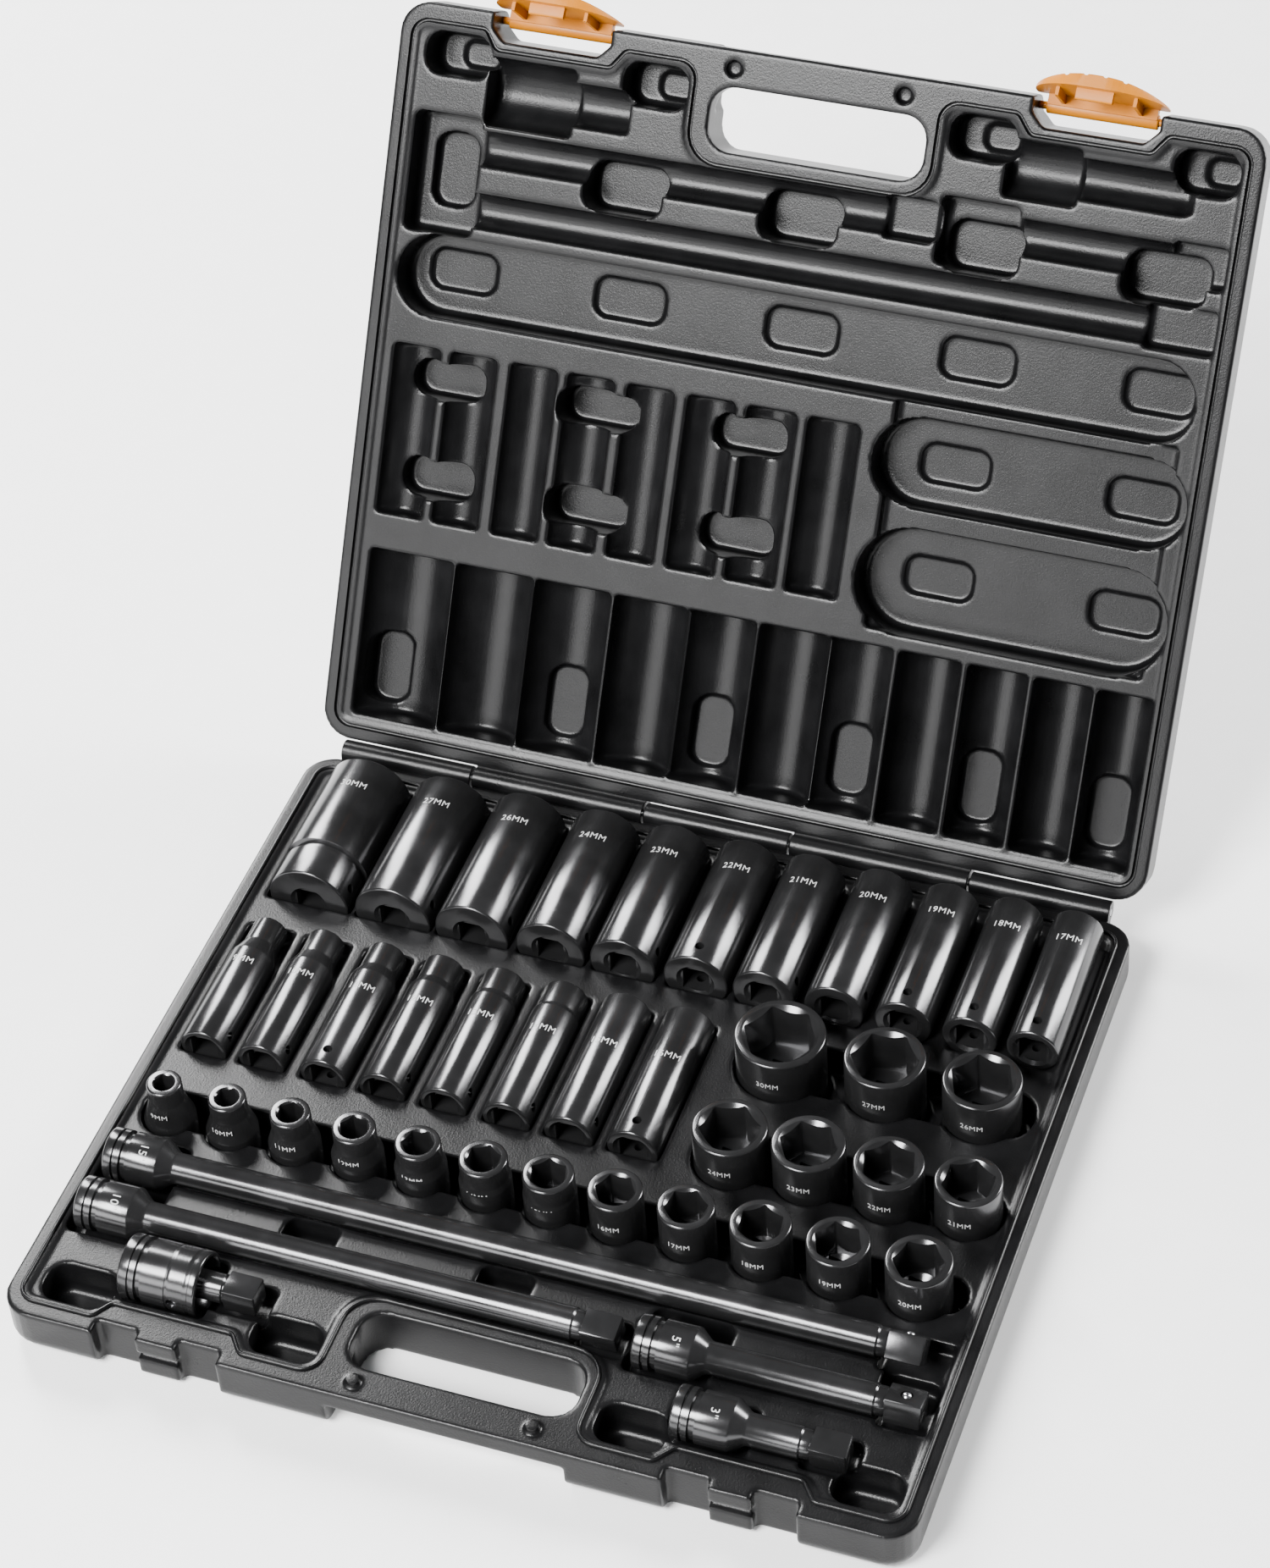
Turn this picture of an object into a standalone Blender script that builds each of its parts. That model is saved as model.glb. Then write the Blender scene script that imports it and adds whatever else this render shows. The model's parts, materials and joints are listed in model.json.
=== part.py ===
"""Socket wrench set in a hinged blow-moulded carry case.

World frame: origin at the centre of the case base's flat underside, +X along
the hinge to the right, +Y from the handle to the hinge, +Z up. Plan positions
below are millimetres from the front left corner of the closed case, and
heights are millimetres above the parting plane between the two halves. The
lid is drawn shut and then turned open about the hinge axis.
"""
import math

import bpy
import bmesh
from mathutils import Matrix, Vector

MM = 0.001
GAP = 0.3                      # clearance between neighbouring pieces
FACETS = 12                    # sides of the round pieces and pockets

# Case halves
CASE_W, CASE_D = 417.0, 361.0  # plan size of each half
HALF_H = 25.0                  # depth of each half
RIM_GAP = 0.2                  # between the two rims when shut
CORNER_R = 15.0                # plan corners
EDGE_R = 8.0                   # rounded outer edge of each half
DECK_DROP = 1.0                # deck below the rim plane
MID_X, MID_Y = CASE_W / 2, CASE_D / 2

# Hinge
HINGE_Y = 366.9
OPEN_DEG = 121.8
KNUCKLE_R, PIN_R, PIN_BORE_R = 5.5, 1.75, 2.1
BASE_KNUCKLES = ((14.0, 82.0), (172.0, 245.0), (335.0, 403.0))
LID_KNUCKLES = ((83.0, 171.0), (246.0, 334.0))
STOP_R, STOP_DEG = 7.7, 15.0   # heel on the base knuckles that stops the lid

# Tongue on the base rim, groove in the lid rim
TONGUE_HALF, TONGUE_H = 1.3, 2.0
GROOVE_HALF, GROOVE_D = 1.8, 2.6
RIM_PATH = (  # x, y, corner radius
    (6.5, 8.5, 8), (43, 8.5, 4), (49, 17.5, 4), (106, 17.5, 4), (113, 8.5, 4),
    (148.5, 8.5, 9), (148.5, 54, 15), (266, 54, 15), (266, 8.5, 9),
    (302, 8.5, 4), (309, 17.5, 4), (365, 17.5, 4), (372, 8.5, 4),
    (410.5, 8.5, 8), (410.5, 354, 8), (6.5, 354, 8))
DECK_INSET = 2.6

# Handle: a bar across the front with a hand hole behind it
GRIP_X0, GRIP_X1 = 157.0, 261.0
GRIP_HOLE_Y0, GRIP_HOLE_Y1 = 17.5, 47.5
GRIP_HALF_H = 10.0
STUDS = ((166.0, 9.0), (248.0, 9.0))
STUD_R, STUD_H, STUD_HOLE_R, STUD_HOLE_D = 3.2, 3.0, 3.8, 3.6

# Latches, hinged on the lid, hooking into a slot in the base's catch block
LATCH_MID_X = (75.5, 337.5)
LATCH_W, LATCH_T, LATCH_SWING = 56.0, 3.0, 15.0
LATCH_BAY_W, LATCH_BAY_Y = 59.0, 13.5
LATCH_AXIS_Y, LATCH_AXIS_Z = 4.5, 15.5
LATCH_BARREL_R, LATCH_STUB_R, LATCH_HOLE_R = 3.4, 1.8, 2.1
CATCH_W, CATCH_Y, NOTCH_Y = 19.0, 1.8, 7.0
SLOT_Z0, SLOT_Z1, SLOT_Y = -13.0, -9.0, 5.4

# Sockets: size, x, y, nose radius, drive end radius
DRIVE = 12.7                   # half-inch square
SOCKET_TOP = 20.0              # tops above the parting plane
DEEP_L, SHALLOW_L = 79.5, 38.5
ROW_A_Y, ROW_B_Y = 266.2, 164.6
ROW_A = ((30, 36.8, 21.0, 20.2), (27, 80.0, 19.25, 19.25),
         (26, 120.3, 18.5, 18.5), (24, 160.0, 17.25, 17.25),
         (23, 196.0, 16.25, 16.25), (22, 232.0, 15.75, 15.75),
         (21, 265.0, 15.0, 15.0), (20, 299.0, 14.25, 14.25),
         (19, 332.0, 13.5, 13.5), (18, 363.5, 13.0, 13.0),
         (17, 393.0, 12.25, 12.25))
ROW_B = ((9, 27.0, 8.6, 11.4), (10, 56.0, 8.9, 11.4), (11, 87.0, 9.3, 11.4),
         (12, 116.0, 9.8, 11.4), (13, 146.0, 10.3, 11.4),
         (14, 176.5, 10.9, 11.5), (15, 206.5, 11.9, 11.9),
         (16, 237.0, 12.2, 12.2))
UPRIGHT = (
    (9, 27.4, 125.8, 8.0, 12.0), (10, 58.4, 126.0, 8.8, 12.0),
    (11, 89.3, 126.0, 9.2, 12.0), (12, 120.2, 126.2, 9.7, 12.0),
    (13, 150.9, 126.2, 10.3, 12.0), (14, 182.0, 126.2, 11.0, 12.0),
    (15, 212.6, 126.4, 11.6, 12.2), (16, 243.9, 126.4, 12.0, 12.4),
    (17, 276.6, 126.6, 12.8, 12.8), (18, 310.6, 127.0, 13.7, 13.7),
    (19, 345.6, 127.4, 14.1, 14.1), (20, 381.9, 127.2, 14.8, 14.8),
    (24, 280.4, 174.8, 17.0, 17.0), (23, 316.6, 175.9, 16.6, 16.6),
    (22, 353.6, 175.4, 15.8, 15.8), (21, 389.7, 175.9, 15.1, 15.1),
    (30, 284.6, 233.6, 20.9, 20.9), (27, 333.9, 233.6, 18.6, 18.6),
    (26, 379.2, 233.5, 18.0, 18.0))

# Extension bars: name, x of the head's end, y, length, turn of the square
BAR_Z, HEAD_R, HEAD_L, SHAFT_R, TIP_L = 3.0, 12.0, 30.0, 7.2, 16.0
BARS = (("15in", 14.0, 93.7, 381.0, 40.0), ("10in", 13.8, 64.2, 254.0, 12.0),
        ("5in", 276.2, 64.0, 127.0, 74.0), ("3in", 304.0, 33.6, 76.2, 4.0))
BALL_R, BALL_HOLE_R, BALL_OUT = 2.4, 2.8, 0.9

# Universal joint
UJ_X, UJ_Y, UJ_R, UJ_L, UJ_END_X = 49.0, 37.0, 14.8, 37.0, 111.0
UJ_BALL_R, UJ_CUP_R, UJ_PIVOT = 9.6, 10.2, 26.0
UJ_PIN_R, UJ_PIN_HOLE_R = 2.2, 2.6

# Deck furniture shared by both halves: x0, x1, y0, y1
FINGER_WELLS = ((14, 47, 12.6, 33), (113, 145, 12.6, 33),
                (271.5, 303, 12.6, 33), (376, 406.5, 12.6, 33))
LID_BAYS = ((12, 403, 108, 147.5), (257, 407, 154.5, 197), (257, 407, 206.5, 255.4))
BASE_BAYS = ((14, 403, 118, 140), (265, 405, 163, 191), (265, 403, 219.5, 250))

COLOURS = {
    "case": ((0.035, 0.035, 0.037), 0.0, 0.55),
    "latch": ((0.9, 0.42, 0.03), 0.0, 0.4),
    "steel": ((0.06, 0.06, 0.065), 0.9, 0.35),
    "bright": ((0.6, 0.6, 0.62), 1.0, 0.25),
}


def clear_scene():
    for obj in list(bpy.data.objects):
        bpy.data.objects.remove(obj, do_unlink=True)


def collection(name):
    coll = bpy.data.collections.new(name)
    bpy.context.scene.collection.children.link(coll)
    return coll


def material(name):
    rgb, metallic, roughness = COLOURS[name]
    mat = bpy.data.materials.new(name)
    mat.use_nodes = True
    shader = mat.node_tree.nodes["Principled BSDF"]
    shader.inputs["Base Color"].default_value = (*rgb, 1.0)
    shader.inputs["Metallic"].default_value = metallic
    shader.inputs["Roughness"].default_value = roughness
    mat.diffuse_color = (*rgb, 1.0)
    return mat


clear_scene()
PARTS = collection("socket_wrench_set")
CUTTERS = collection("cutters")


def place(name, mesh, location=(0, 0, 0), turn=(0, 0, 0), cutter=False, parent=None):
    """Put a mesh in the scene: location and size in mm, turn in degrees."""
    obj = bpy.data.objects.new(name, mesh)
    (CUTTERS if cutter else PARTS).objects.link(obj)
    obj.location = [c * MM for c in location]
    obj.rotation_euler = [math.radians(a) for a in turn]
    obj.parent = parent
    if cutter:
        obj.hide_render = True
        obj.display_type = "WIRE"
    return obj


def finish(obj, look):
    obj.data.materials.append(material(look))
    obj.data.materials[0].name = obj.name
    obj.data.shade_smooth()
    obj.data.set_sharp_from_angle(angle=math.radians(35))


def cut(obj, cutter, operation="DIFFERENCE"):
    mod = obj.modifiers.new(cutter.name, "BOOLEAN")
    mod.operation = operation
    mod.object = cutter
    mod.solver = "EXACT"


def weld(mesh):
    bm = bmesh.new()
    bm.from_mesh(mesh)
    bmesh.ops.remove_doubles(bm, verts=bm.verts, dist=0.00001)
    bm.to_mesh(mesh)
    bm.free()


def flat_outline(name, outlines, z0, z1):
    """Solid between two heights from closed outlines; inner ones are holes."""
    curve = bpy.data.curves.new(name, "CURVE")
    curve.dimensions = "2D"
    curve.fill_mode = "BOTH"
    curve.extrude = (z1 - z0) / 2 * MM
    for outline in outlines:
        spline = curve.splines.new("POLY")
        spline.points.add(len(outline) - 1)
        for point, (x, y) in zip(spline.points, outline):
            point.co = (x * MM, y * MM, 0, 1)
        spline.use_cyclic_u = True
    source = bpy.data.objects.new(name, curve)
    bpy.context.scene.collection.objects.link(source)
    bpy.context.view_layer.update()
    graph = bpy.context.evaluated_depsgraph_get()
    mesh = bpy.data.meshes.new_from_object(source.evaluated_get(graph))
    bpy.data.objects.remove(source, do_unlink=True)
    bpy.data.curves.remove(curve)
    weld(mesh)
    mesh.transform(Matrix.Translation((0, 0, (z0 + z1) / 2 * MM)))
    return mesh


def merged(name, meshes):
    """One mesh from several separate bodies that don't touch."""
    bm = bmesh.new()
    for mesh in meshes:
        bm.from_mesh(mesh)
    whole = bpy.data.meshes.new(name)
    bm.to_mesh(whole)
    bm.free()
    return whole


def along_x(mesh):
    """Turn an outline drawn as (y, z) so that it is extruded along x."""
    mesh.transform(Matrix(((0, 0, 1, 0), (1, 0, 0, 0), (0, 1, 0, 0), (0, 0, 0, 1))))
    return mesh


def box(x0, x1, y0, y1, z0, z1):
    bm = bmesh.new()
    size = Matrix.Diagonal(((x1 - x0) * MM, (y1 - y0) * MM, (z1 - z0) * MM, 1))
    middle = Vector((x0 + x1, y0 + y1, z0 + z1)) * MM / 2
    bmesh.ops.create_cube(bm, size=1, matrix=Matrix.Translation(middle) @ size)
    mesh = bpy.data.meshes.new("box")
    bm.to_mesh(mesh)
    bm.free()
    return mesh


def rod(radius, a, b, steps, axis="Z", centre=(0, 0), turn=0.0, outside=False):
    """Cylinder from a to b along an axis. outside=True keeps its flats at the radius."""
    bm = bmesh.new()
    r = radius / math.cos(math.pi / steps) if outside else radius
    bmesh.ops.create_cone(
        bm, cap_ends=True, segments=steps, radius1=r * MM, radius2=r * MM,
        depth=(b - a) * MM, matrix=Matrix.Rotation(math.radians(turn), 4, "Z"))
    mesh = bpy.data.meshes.new("rod")
    bm.to_mesh(mesh)
    bm.free()
    mid = (a + b) / 2
    u, v = centre
    if axis == "Z":
        spin, shift = Matrix.Identity(4), (u, v, mid)
    elif axis == "X":
        spin, shift = Matrix.Rotation(math.pi / 2, 4, "Y"), (mid, u, v)
    else:
        spin, shift = Matrix.Rotation(-math.pi / 2, 4, "X"), (u, mid, v)
    mesh.transform(Matrix.Translation(Vector(shift) * MM) @ spin)
    return mesh


def turned(name, profile):
    """Profile of (radius, z) for a Screw about Z, from the top axis point down."""
    mesh = bpy.data.meshes.new(name)
    mesh.from_pydata([(r * MM, 0, z * MM) for r, z in profile],
                     [(i, i + 1) for i in range(len(profile) - 1)], [])
    return mesh


def add_screw(obj):
    mod = obj.modifiers.new("Screw", "SCREW")
    mod.steps = FACETS
    mod.render_steps = FACETS
    mod.use_merge_vertices = True
    mod.merge_threshold = 0.00001


def arc(cx, cy, r, a0, a1, n):
    return [(cx + r * math.cos(math.radians(a0 + (a1 - a0) * i / n)),
             cy + r * math.sin(math.radians(a0 + (a1 - a0) * i / n)))
            for i in range(n + 1)]


def rounded(points, steps=2):
    """Closed outline with an arc of the given radius at each corner."""
    out = []
    count = len(points)
    for i, (x, y, r) in enumerate(points):
        here = Vector((x, y))
        back = (Vector(points[i - 1][:2]) - here).normalized()
        ahead = (Vector(points[(i + 1) % count][:2]) - here).normalized()
        half = back.angle(ahead) / 2
        centre = here + (back + ahead).normalized() * (r / math.sin(half))
        p0 = here + back * (r / math.tan(half))
        p1 = here + ahead * (r / math.tan(half))
        a0 = math.atan2(p0.y - centre.y, p0.x - centre.x)
        a1 = math.atan2(p1.y - centre.y, p1.x - centre.x)
        sweep = (a1 - a0 + math.pi) % (2 * math.pi) - math.pi
        for k in range(steps + 1):
            a = a0 + sweep * k / steps
            out.append((centre.x + r * math.cos(a), centre.y + r * math.sin(a)))
    return out


def inset(outline, distance):
    """Outline moved inwards by a distance (outwards if negative)."""
    out = []
    count = len(outline)
    for i in range(count):
        a, b, c = (Vector(outline[(i + k) % count]) for k in (-1, 0, 1))
        d0, d1 = (b - a).normalized(), (c - b).normalized()
        n0, n1 = Vector((-d0.y, d0.x)), Vector((-d1.y, d1.x))
        mitre = (n0 + n1) / (1 + n0.dot(n1))
        out.append(tuple(b + mitre * distance))
    return out


def rounded_box(x0, x1, y0, y1, r, z0, z1, steps=2):
    corners = ((x0, y0, r), (x1, y0, r), (x1, y1, r), (x0, y1, r))
    return flat_outline("rounded_box", [rounded(corners, steps)], z0, z1)


# ---------------------------------------------------------------- case halves
def shell_block(name, sign):
    """Solid half: the rim is at z = 0 and the flat outer face at sign * HALF_H."""
    corners = ((0, 0, CORNER_R), (CASE_W, 0, CORNER_R),
               (CASE_W, CASE_D, CORNER_R), (0, CASE_D, CORNER_R))
    z0, z1 = (-HALF_H, 0.0) if sign < 0 else (RIM_GAP, HALF_H)
    mesh = flat_outline(name, [rounded(corners, 3)], z0, z1)
    bm = bmesh.new()
    bm.from_mesh(mesh)
    bmesh.ops.dissolve_limit(bm, angle_limit=0.01, verts=bm.verts, edges=bm.edges)
    far = sign * HALF_H * MM
    rim = [e for e in bm.edges if len(e.link_faces) == 2
           and all(abs(v.co.z - far) < 1e-6 for v in e.verts)
           and abs(e.link_faces[0].normal.dot(e.link_faces[1].normal)) < 0.5]
    bmesh.ops.bevel(bm, geom=rim, offset=EDGE_R * MM, segments=2, profile=0.5,
                    affect="EDGES", clamp_overlap=True)
    bm.to_mesh(mesh)
    bm.free()
    return mesh


def rim_ring(name, half_width, z0, z1):
    path = rounded(RIM_PATH)
    return flat_outline(name, [inset(path, -half_width), inset(path, half_width)], z0, z1)


def grip_cuts(sign):
    """Hand hole, and the space under the handle bar."""
    far = sign * (HALF_H + 5)
    z0, z1 = sorted((-sign * 5, far))
    hole = rounded_box(GRIP_X0, GRIP_X1, GRIP_HOLE_Y0, GRIP_HOLE_Y1, 11, z0, z1)
    u0, u1 = sorted((sign * GRIP_HALF_H, far))
    under = box(GRIP_X0 - 2, GRIP_X1 + 3, -5, GRIP_HOLE_Y0 + 14, u0, u1)
    return hole, under


def knuckle(x0, x1, sign, stop):
    """Hinge barrel with the web that ties it to its half, about (0, 0)."""
    ring = [(KNUCKLE_R * math.cos(math.radians(a)), KNUCKLE_R * math.sin(math.radians(a)))
            for a in range(-60, 241, 30)]
    if stop:
        a = math.radians(STOP_DEG)
        ring = [p for p in ring if not -25 < math.degrees(math.atan2(p[1], p[0])) < 50]
        ring.insert(2, (STOP_R * math.cos(a), STOP_R * math.sin(a)))
    web_y = -(HINGE_Y - CASE_D) - 1.2
    if sign < 0:
        outline = [p for p in ring if p[1] > -0.6 or p[0] > 0.5]
        outline += [(web_y, -0.6), (web_y, -10.0), (0.5, -7.0)]
    else:
        outline = [(x, -y) for x, y in ring]
        outline = [p for p in outline if p[1] < 0.6 or p[0] > 0.5]
        outline += [(web_y, 0.6), (web_y, 10.0), (0.5, 7.0)]
        outline = outline[::-1]
    mesh = along_x(flat_outline("knuckle", [outline], x0, x1))
    return mesh


def hinge_cut():
    """Straight bore for the pins through every knuckle."""
    return rod(PIN_BORE_R, 8, CASE_W - 8, 12, "X", (HINGE_Y, 0.0), outside=True)


def bay(x0, x1, y0, y1, z0, z1):
    r = min(x1 - x0, y1 - y0) / 2 - 0.2
    return rounded_box(x0, x1, y0, y1, min(r, 19.0), z0, z1, 3)


def trough(x, y0, y1, r, z):
    return rod(r, y0, y1, FACETS, "Y", (x, z), turn=180 / FACETS, outside=True)


def lying_sockets():
    """Every lying socket: size, x, y of the drive end, largest radius, axis height."""
    for size, x, nose, drive in ROW_A:
        yield size, x, ROW_A_Y, max(nose, drive), SOCKET_TOP - max(nose, drive)
    for size, x, nose, drive in ROW_B:
        yield size, x, ROW_B_Y, max(nose, drive), 0.0


def base_cutters():
    """Groups of separate bodies; each group is one cutter."""
    up = 6.0
    deck = inset(rounded(RIM_PATH), DECK_INSET)
    yield "deck", [flat_outline("deck", [deck], -DECK_DROP, up)]
    rows = [trough(x, y - 1.2, y + DEEP_L + 2.0, r + 0.6, z)
            for _, x, y, r, z in lying_sockets()]
    yield "sockets_lying", rows
    yield "sockets_upright", [
        rod(drive + 0.8, SOCKET_TOP - SHALLOW_L - GAP, up, FACETS, "Z", (x, y), outside=True)
        for _, x, y, _, drive in UPRIGHT]
    yield "row_trenches", [bay(*b, -17.0, up + 1) for b in BASE_BAYS]
    yield "bars", [
        rod(SHAFT_R + 0.7, x + 20, x + length + 5, FACETS, "X", (y, BAR_Z), 15, True)
        for _, x, y, length, _ in BARS]
    yield "heads", [box(9.6, 46.5, 50.5, 108.5, -10.0, up + 1),
                    box(272.0, 309.5, 50.5, 78.5, -10.0, up + 1),
                    box(300.5, 337.5, 20.9, 46.5, -10.0, up + 2),
                    box(46.9, 89.5, 21.2, 52.8, -13.0, up + 2)]
    yield "tips", [box(86.0, 116.0, 28.0, 46.0, -9.0, up + 3),
                   box(360.0, 384.0, 24.0, 43.0, -7.0, up + 3),
                   box(384.0, 407.0, 54.5, 84.0, -9.0, up + 3),
                   box(248.0, 271.0, 54.5, 73.5, -8.0, up + 3)]
    yield "bar_tip_a", [box(376.0, 406.5, 83.0, 104.0, -8.5, up + 4)]
    yield "between_bars", [rounded_box(x0, x1, 72, 86.5, 5, -15.0, up + 5)
                           for x0, x1 in ((104, 129), (196, 221), (276, 313), (380, 405))]
    yield "finger_wells", [rounded_box(*w, 8, -19.0, up + 6) for w in FINGER_WELLS]
    hole, under = grip_cuts(-1)
    yield "hand_hole", [hole]
    yield "under_handle", [under]
    notches, slots = [], []
    for mid in LATCH_MID_X:
        near, far = CATCH_W / 2, LATCH_BAY_W / 2
        notches += [box(mid - far, mid - near, -5, NOTCH_Y, -30, up),
                    box(mid + near, mid + far, -5, NOTCH_Y, -30, up),
                    box(mid - near - 0.01, mid + near + 0.01, -5.5, CATCH_Y, -31, up + 1)]
        slots.append(box(mid - near - 3, mid + near + 3, 0, SLOT_Y, SLOT_Z0, SLOT_Z1))
    yield "latch_notches", notches[0::3] + notches[1::3]
    yield "catch_fronts", notches[2::3]
    yield "catch_slots", slots
    yield "pin_bore", [hinge_cut()]


def build_base():
    origin = (-MID_X, -MID_Y, HALF_H)
    base = place("case_base", shell_block("case_base", -1), origin)
    adds = [("tongue", [rim_ring("tongue", TONGUE_HALF, -0.6, TONGUE_H)]),
            ("studs", [rod(STUD_R, -1, STUD_H, 12, "Z", s) for s in STUDS])]
    hinges = []
    for x0, x1 in BASE_KNUCKLES:
        mesh = knuckle(x0, x1, -1, True)
        mesh.transform(Matrix.Translation((0, HINGE_Y * MM, 0)))
        hinges.append(mesh)
    adds.append(("base_knuckles", hinges))
    for name, meshes in adds:
        cut(base, place("add_" + name, merged(name, meshes), origin, cutter=True), "UNION")
    for name, meshes in base_cutters():
        cut(base, place("base_" + name, merged(name, meshes), origin, cutter=True))
    finish(base, "case")
    return base


def lid_cutters():
    """As base_cutters, for the lid drawn shut above z = 0."""
    down = -6.0
    deck = inset(rounded(RIM_PATH), DECK_INSET)
    yield "deck", [flat_outline("deck", [deck], down, DECK_DROP)]
    yield "groove", [rim_ring("groove", GROOVE_HALF, down - 1, GROOVE_D)]
    rows, mouths = [], []
    for _, x, y, r, z in lying_sockets():
        y0, y1 = y - 2.4, y + DEEP_L + 2.0
        rows.append(trough(x, y0, y1, r + 0.5, z))
        if z > 0:
            mouths.append(box(x - r - 0.5, x + r + 0.5, y0 + 0.01, y1 - 0.01, down, z))
    yield "sockets_lying", rows
    yield "socket_mouths", mouths
    yield "sockets_upright", [bay(*b, down - 1, SOCKET_TOP + 0.8) for b in LID_BAYS]
    yield "row_links", [box(265, 399, 146, 256, down - 2, 7.0)]
    shafts = []
    for _, x, y, length, _ in BARS:
        x1 = min(x + length + 8, 407)
        shafts.append(rod(SHAFT_R + 1.0, x + 20, x1, FACETS, "X", (y, BAR_Z), 15, True))
        shafts.append(box(x + 20.01, x1 - 0.01, y - SHAFT_R - 1.0, y + SHAFT_R + 1.0,
                          down - 3, BAR_Z))
    yield "bars", shafts[0::2]
    yield "bar_mouths", shafts[1::2]
    yield "heads", [box(12.2, 46.5, 50.5, 108, down - 4, 16.5),
                    box(272.5, 309.5, 50.5, 82, down - 4, 16.5),
                    box(299.5, 337.5, 20.6, 46.5, down - 4, 16.5),
                    box(46.6, 89.8, 20.9, 52.8, down - 4, 19.0)]
    yield "tips", [box(86.0, 118.0, 27.0, 47.0, down - 5, 13.5),
                   box(360.0, 385.0, 24.0, 43.5, down - 5, 13.5),
                   box(381.0, 407.0, 54.0, 74.0, down - 5, 13.5),
                   box(246.0, 271.0, 54.0, 74.0, down - 5, 13.5)]
    yield "bar_tip_a", [box(374.0, 407.0, 83.0, 104.0, down - 5.5, 13.5)]
    yield "between_bars", [rounded_box(x0, x1, 61, 84, 8, down - 6, 20.0)
                           for x0, x1 in ((100, 138), (187, 225), (275, 312), (360, 399))]
    yield "finger_wells", [rounded_box(*w, 8, down - 7, 21.0) for w in FINGER_WELLS]
    hole, under = grip_cuts(1)
    yield "hand_hole", [hole]
    yield "under_handle", [under]
    yield "stud_holes", [rod(STUD_HOLE_R, -1, STUD_HOLE_D, 12, "Z", s) for s in STUDS]
    bays, holes = [], []
    for mid in LATCH_MID_X:
        half = LATCH_BAY_W / 2
        corners = ((mid - half, -5, 1), (mid + half, -5, 1), (mid + half, 7.4, 2),
                   (mid + half - 6, LATCH_BAY_Y, 3), (mid - half + 6, LATCH_BAY_Y, 3),
                   (mid - half, 7.4, 2))
        bays.append(flat_outline("latch_bay", [rounded(corners)], down, 30))
        holes.append(rod(LATCH_HOLE_R, mid - half - 3.6, mid + half + 3.6, 12, "X",
                         (LATCH_AXIS_Y, LATCH_AXIS_Z), outside=True))
    yield "latch_bays", bays
    yield "latch_holes", holes
    yield "pin_bore", [hinge_cut()]


def build_lid(hinge):
    origin = (-MID_X, -HINGE_Y, 0.0)
    mesh = shell_block("case_lid", 1)
    shift = Matrix.Translation(Vector(origin) * MM)
    mesh.transform(shift)
    lid = place("case_lid", mesh, parent=hinge)
    knuckles = []
    for x0, x1 in LID_KNUCKLES:
        piece = knuckle(x0, x1, 1, False)
        piece.transform(Matrix.Translation((0, HINGE_Y * MM, 0)))
        knuckles.append(piece)
    cut(lid, place("add_lid_knuckles", merged("lid_knuckles", knuckles), origin,
                   cutter=True, parent=hinge), "UNION")
    for name, meshes in lid_cutters():
        cut(lid, place("lid_" + name, merged(name, meshes), origin, cutter=True,
                       parent=hinge))
    finish(lid, "case")
    return lid


def build_latch(side, mid, hinge):
    """Over-centre latch: barrel with end stubs, front plate and hook."""
    pivot = bpy.data.objects.new("latch_pivot_" + side, None)
    PARTS.objects.link(pivot)
    pivot.parent = hinge
    pivot.location = ((mid - MID_X) * MM, (LATCH_AXIS_Y - HINGE_Y) * MM, LATCH_AXIS_Z * MM)
    pivot.rotation_euler = (math.radians(-LATCH_SWING), 0, 0)
    y_out = -1.8 - LATCH_AXIS_Y
    y_in = y_out + LATCH_T
    z_end = -16.5 - LATCH_AXIS_Z
    hook_top, hook_low = SLOT_Z1 - 0.4 - LATCH_AXIS_Z, SLOT_Z0 + 0.5 - LATCH_AXIS_Z
    hook_y = SLOT_Y - 0.6 - LATCH_AXIS_Y
    r = LATCH_BARREL_R
    plate = [(y_in, hook_low), (y_in, z_end + 1.5), (y_in - 1.0, z_end), (y_out, z_end),
             (y_out - 1.4, z_end + 8), (y_out - 1.8, -16), (y_out - 1.0, -6), (y_out, r - 1)]
    profile = plate + arc(0, 0, r, 125, -90, 6) + [(y_in, -r - 1.5)]
    half = LATCH_W / 2
    body = along_x(flat_outline("latch", [profile], -half, half))
    latch = place("latch_" + side, body, parent=pivot)
    hook = along_x(flat_outline("hook", [[(y_in - 1, hook_low), (hook_y, hook_low + 0.8),
                                          (hook_y, hook_top), (y_in - 1, hook_top)]],
                                -CATCH_W / 2 + 1, CATCH_W / 2 - 1))
    cut(latch, place("hook_" + side, hook, cutter=True, parent=pivot), "UNION")
    stubs = rod(LATCH_STUB_R, -LATCH_BAY_W / 2 - 2.8, LATCH_BAY_W / 2 + 2.8, 12, "X")
    cut(latch, place("stubs_" + side, stubs, cutter=True, parent=pivot), "UNION")
    finish(latch, "latch")
    return latch


def build_pins():
    for side, x0, x1 in (("left", 14.0, MID_X - 0.3), ("right", MID_X + 0.3, 403.0)):
        pin = place("hinge_pin_" + side, rod(PIN_R, x0 - MID_X, x1 - MID_X, 12, "X"),
                    (0, HINGE_Y - MID_Y, HALF_H))
        finish(pin, "bright")


# --------------------------------------------------------------------- tools
def hex_depth(length, size):
    return 11.0 + size * 0.45 if length < 50 else 26.0 + size * 0.4


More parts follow.
